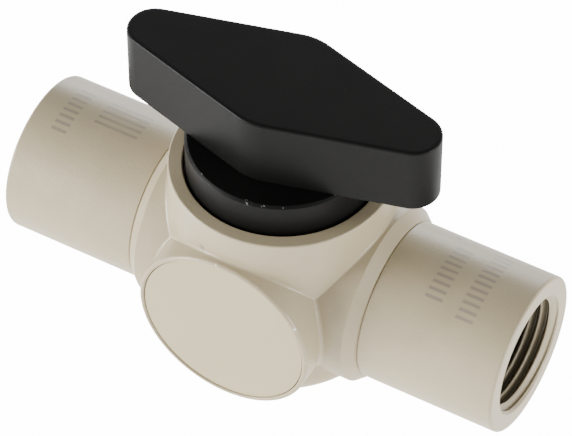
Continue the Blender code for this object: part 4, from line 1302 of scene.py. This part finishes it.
layers = [(GRIP_TUCK, SKIRT_TOP - CRISP), (0.0, SKIRT_TOP + SLIGHT)]
for turn in quarter_turn(5):
    layers.append((GRIP_EDGE * (1 - math.cos(turn)), GRIP_TOP - GRIP_EDGE * (1 - math.sin(turn))))
layers.append((GRIP_EDGE + GRIP_BORDER, GRIP_TOP))
knob = loft("knob_moulding", layers)
print("grip is", round(2 * (TIP_CENTRE + TIP_RADIUS) / MM, 1), "mm long and",
      round(2 * (SIDE_CENTRE + SIDE_RADIUS) / MM, 1), "mm wide")

# %% [markdown]
# ## Skirt, lug and hollows of the knob
#
# Seen from below, the knob is a shell with ribs, because thick plastic sinks as it cools. The
# skirt and the stop lug are joined to the grip, then the square socket, the groove for the snap
# ring and the pockets are cut. A rib is left along the middle of the grip.

# %% Finish the knob
LUG_ANGLE = 200.0
LUG_HALF_ANGLE = 8.0
SOCKET = SQUARE + 2 * CLEARANCE
SOCKET_TIP = STEM_TIP + CLEARANCE
SOCKET_GROOVE = 3.8 * MM
KNOB_HUB = 5.97 * MM
SKIRT_CHAMFER = 0.35 * MM
CHAMFER_ROUNDING = 0.06 * MM
CEILING_ROUNDING = 0.4 * MM
OUTER_KEEP = 0.6 * MM          # kept between the end pockets and the skirt's outside
INNER_KEEP = 0.4 * MM          # kept between the middle pocket and the skirt's inside
RIB_HALF = 0.8 * MM
skirt = lathe("skirt", soften([
    (0.0, SKIRT_TOP, 0.0),
    (SKIRT_RADIUS - SKIRT_CHAMFER, SKIRT_TOP, CHAMFER_ROUNDING),
    (SKIRT_RADIUS, SKIRT_TOP - SKIRT_CHAMFER, CHAMFER_ROUNDING),
    (SKIRT_RADIUS, SKIRT_BOTTOM, SLIGHT),
    (SKIRT_INNER, SKIRT_BOTTOM, SLIGHT),
    (SKIRT_INNER, SKIRT_CEILING, CEILING_ROUNDING),
    (0.0, SKIRT_CEILING, 0.0),
]), "+Z", 176)
lug = sector(
    "lug", NECK_RADIUS + CLEARANCE, SKIRT_INNER + JOIN,
    LUG_ANGLE, LUG_HALF_ANGLE, SKIRT_BOTTOM + JOIN, SKIRT_CEILING + JOIN,
)
carve(knob, [skirt, lug], "UNION")


def cylinder(name, radius):
    """An upright tool as tall as the knob."""
    low, high = SKIRT_BOTTOM, GRIP_TOP + SPARE
    return lathe(name, [(0.0, high), (radius, high), (radius, low), (0.0, low)], "+Z", 120)


pocket_top = GRIP_TOP - GRIP_WALL
end_pockets = loft("end_pockets", [(GRIP_WALL, SKIRT_TOP - SPARE), (GRIP_WALL, pocket_top)])
kept = [
    cylinder("keep_skirt", SKIRT_RADIUS + OUTER_KEEP),
    block("keep_rib", 4 * TIP_CENTRE, 2 * RIB_HALF, SKIRT_BOTTOM, GRIP_TOP + SPARE),
]
carve(end_pockets, kept, "DIFFERENCE")
middle_pocket = loft("middle_pocket", [(GRIP_WALL, SKIRT_CEILING - SPARE), (GRIP_WALL, pocket_top)])
carve(middle_pocket, [cylinder("reach", SKIRT_INNER - INNER_KEEP)], "INTERSECT")
carve(middle_pocket, [cylinder("keep_hub", KNOB_HUB)], "DIFFERENCE")
socket = block("socket", SOCKET, SOCKET, SKIRT_CEILING - SPARE, SQUARE_TOP + CLEARANCE)
socket_end = STEM_TOP + CLEARANCE
tip_hole = lathe("tip_hole", [
    (0.0, socket_end),
    (SOCKET_TIP, socket_end),
    (SOCKET_TIP, GROOVE_HEIGHT + GROOVE_HALF),
    (SOCKET_GROOVE, GROOVE_HEIGHT + GROOVE_HALF),
    (SOCKET_GROOVE, GROOVE_HEIGHT - GROOVE_HALF),
    (SOCKET_TIP, GROOVE_HEIGHT - GROOVE_HALF),
    (SOCKET_TIP, SQUARE_TOP - SPARE),
    (0.0, SQUARE_TOP - SPARE),
], "+Z", 72)
carve(knob, [end_pockets, middle_pocket, socket, tip_hole], "DIFFERENCE")
smooth(knob)
SKIRT_NICKS = ("Z", SKIRT_RADIUS - 0.2 * MM, SKIRT_TOP - 0.1 * MM, 0.4 * MM, 0.37)
KNOB_PLASTIC = moulded(
    "knob_plastic", (0.003, 0.003, 0.0028), (0.005, 0.005, 0.0046), (0.36, 0.48), 0.00001, (0.10, 0.10, 0.09),
    circles=(SKIRT_NICKS,), nick_colour=(0.22, 0.22, 0.21), speck_amount=0.03, sheen=0.12,
)
settle(knob, "rotor", KNOB_PLASTIC, "knob_plastic", "knob")
print("knob:", len(knob.data.polygons), "faces")

# %% [markdown]
# ## The snap ring
#
# A split ring of spring wire locks the knob on the stem. It is a piece of round wire bent to
# an open circle, with rounded ends. A curve with a bevel would do, but its ends would be flat.
# A row of sections along the arc, each a little smaller near the end, makes domed ends.

# %% Snap ring
WIRE_RADIUS = 0.45 * MM
RING_RADIUS = 3.05 * MM
OPENING = math.radians(50)
RING_ARC = 2 * math.pi - OPENING
BLUNT = 0.02                   # how small a share of the wire's section its very end keeps


def split_ring(name, steps=72, sides=16):
    """Round wire along an open circle, tapered to a dome at both ends."""
    build = bmesh.new()
    rows = []
    for step in range(steps + 1):
        share = step / steps
        around = OPENING / 2 + RING_ARC * share
        to_end = min(share, 1 - share) * RING_ARC * RING_RADIUS
        dome_part = min(to_end / WIRE_RADIUS, 1.0)
        wire_here = WIRE_RADIUS * math.sqrt(max(1 - (1 - dome_part) ** 2, BLUNT))
        row = []
        for side in range(sides):
            angle = 2 * math.pi * side / sides
            reach = RING_RADIUS + wire_here * math.cos(angle)
            height = GROOVE_HEIGHT + wire_here * math.sin(angle)
            row.append(build.verts.new(on_axis("+Z", reach, around, height)))
        rows.append(row)
    skin(build, rows, wrap_rows=False, wrap_columns=True)
    build.faces.new(rows[0])
    build.faces.new(rows[-1])
    return new_object(name, build)


SPRING_STEEL = turned_finish(
    "spring_steel", "Z", (0.50, 0.50, 0.51), (0.62, 0.62, 0.63), (0.2, 0.34), 0.000004, metallic=1.0)
snap_ring = smooth(split_ring("knob_snap_ring_wire"), 60)
settle(snap_ring, "rotor", SPRING_STEEL, "spring_steel", "knob_snap_ring")
print("snap ring:", len(snap_ring.data.polygons), "faces")

# %% [markdown]
# ## Floor and light
#
# The valve stands on a pale light table. A glowing floor is what makes the undersides of the
# tubes brighter than their tops, as in catalogue work, while soft panels at the left and right
# draw the long highlights. The sky overhead stays dim, so that the flat tops read darker than the
# sides. From below the floor is clear, so that the underside can be looked at. Nothing here is
# part of the object.

# %% Floor, panels and sky
FLOOR_HALF = 3.0
FLOOR_DROP = 0.0002            # keeps the floor just clear of the valve's underside
FLOOR_GLOW = 1.6               # what lights the valve from below
FLOOR_SEEN = 14.0              # what the eye sees: a white, over-exposed table
SKY_HORIZON = 1.35
SKY_TOP = 0.33
build = bmesh.new()
bmesh.ops.create_grid(build, x_segments=1, y_segments=1, size=FLOOR_HALF)
floor = new_object("floor", build)
floor.location.z = -FLOOR_DROP
floor_paint = bpy.data.materials.new("floor_paint")
floor_paint.use_nodes = True
floor_tree = floor_paint.node_tree
paper = floor_tree.nodes["Principled BSDF"]
paper.inputs["Base Color"].default_value = (0.86, 0.86, 0.86, 1.0)
paper.inputs["Roughness"].default_value = 0.8
paper.inputs["Emission Color"].default_value = (1.0, 1.0, 1.0, 1.0)
seen_by = node(floor_tree, "ShaderNodeLightPath")
glow = scaled(floor_tree, (seen_by, "Is Camera Ray"), FLOOR_GLOW, FLOOR_SEEN)
wire(floor_tree, glow, (paper, "Emission Strength"))
side_seen = node(floor_tree, "ShaderNodeNewGeometry")
clear = node(floor_tree, "ShaderNodeBsdfTransparent")
either = node(floor_tree, "ShaderNodeMixShader")
wire(floor_tree, (side_seen, "Backfacing"), (either, 0))
wire(floor_tree, (paper, "BSDF"), (either, 1))
wire(floor_tree, (clear, "BSDF"), (either, 2))
wire(floor_tree, (either, "Shader"), (floor_tree.nodes["Material Output"], "Surface"))
floor.data.materials.append(floor_paint)


def place_facing(thing, target, azimuth, elevation, distance):
    """Stand a light or a camera off from a point and aim it back; azimuth 0 is the front."""
    turn, rise = math.radians(azimuth), math.radians(elevation)
    away = Vector((math.sin(turn) * math.cos(rise), -math.cos(turn) * math.cos(rise), math.sin(rise)))
    thing.location = target + away * distance
    thing.rotation_mode = "QUATERNION"
    thing.rotation_quaternion = away.to_track_quat("Z", "Y")
    bpy.context.scene.collection.objects.link(thing)


def panel(name, azimuth, elevation, distance, size, power):
    """A square soft light aimed at the middle of the valve."""
    lamp = bpy.data.lights.new(name, "AREA")
    lamp.shape = "SQUARE"
    lamp.size = size
    lamp.energy = power
    thing = bpy.data.objects.new(name, lamp)
    place_facing(thing, CROSSING, azimuth, elevation, distance)


panel("panel_left", -50.0, 6.0, 0.7, 0.3, 11.0)
panel("panel_right", 92.0, 4.0, 0.8, 0.35, 7.0)
panel("panel_back", 205.0, 10.0, 0.8, 0.4, 3.0)
sky = bpy.data.worlds.new("soft_sky")
bpy.context.scene.world = sky
sky.use_nodes = True
sky_shader = sky.node_tree.nodes["Background"]
sky_shader.inputs["Color"].default_value = (1.0, 1.0, 1.0, 1.0)
sky_place = node(sky.node_tree, "ShaderNodeTexCoord")
sky_parts = node(sky.node_tree, "ShaderNodeSeparateXYZ")
sky_span = {"From Max": 0.9, "To Min": SKY_HORIZON, "To Max": SKY_TOP}
sky_height = node(sky.node_tree, "ShaderNodeMapRange", inputs=sky_span)
wire(sky.node_tree, (sky_place, "Generated"), (sky_parts, "Vector"))
wire(sky.node_tree, (sky_parts, "Z"), (sky_height, "Value"))
wire(sky.node_tree, (sky_height, "Result"), (sky_shader, "Strength"))

# %% [markdown]
# ## Camera
#
# The view is a long lens from the front right, high enough to look into the right port's mouth.
# A long lens keeps the two tubes almost parallel. The aim is a point just above the crossing.

# %% Camera
AIM = CROSSING + Vector((-0.00123, 0.00299, 0.00285))
camera_data = bpy.data.cameras.new("camera")
camera_data.lens = 239.67
camera_data.sensor_width = 36.0
camera = bpy.data.objects.new("camera", camera_data)
place_facing(camera, AIM, azimuth=29.59, elevation=48.12, distance=0.50853)
bpy.context.scene.camera = camera
print("camera at", [round(value, 3) for value in camera.location])
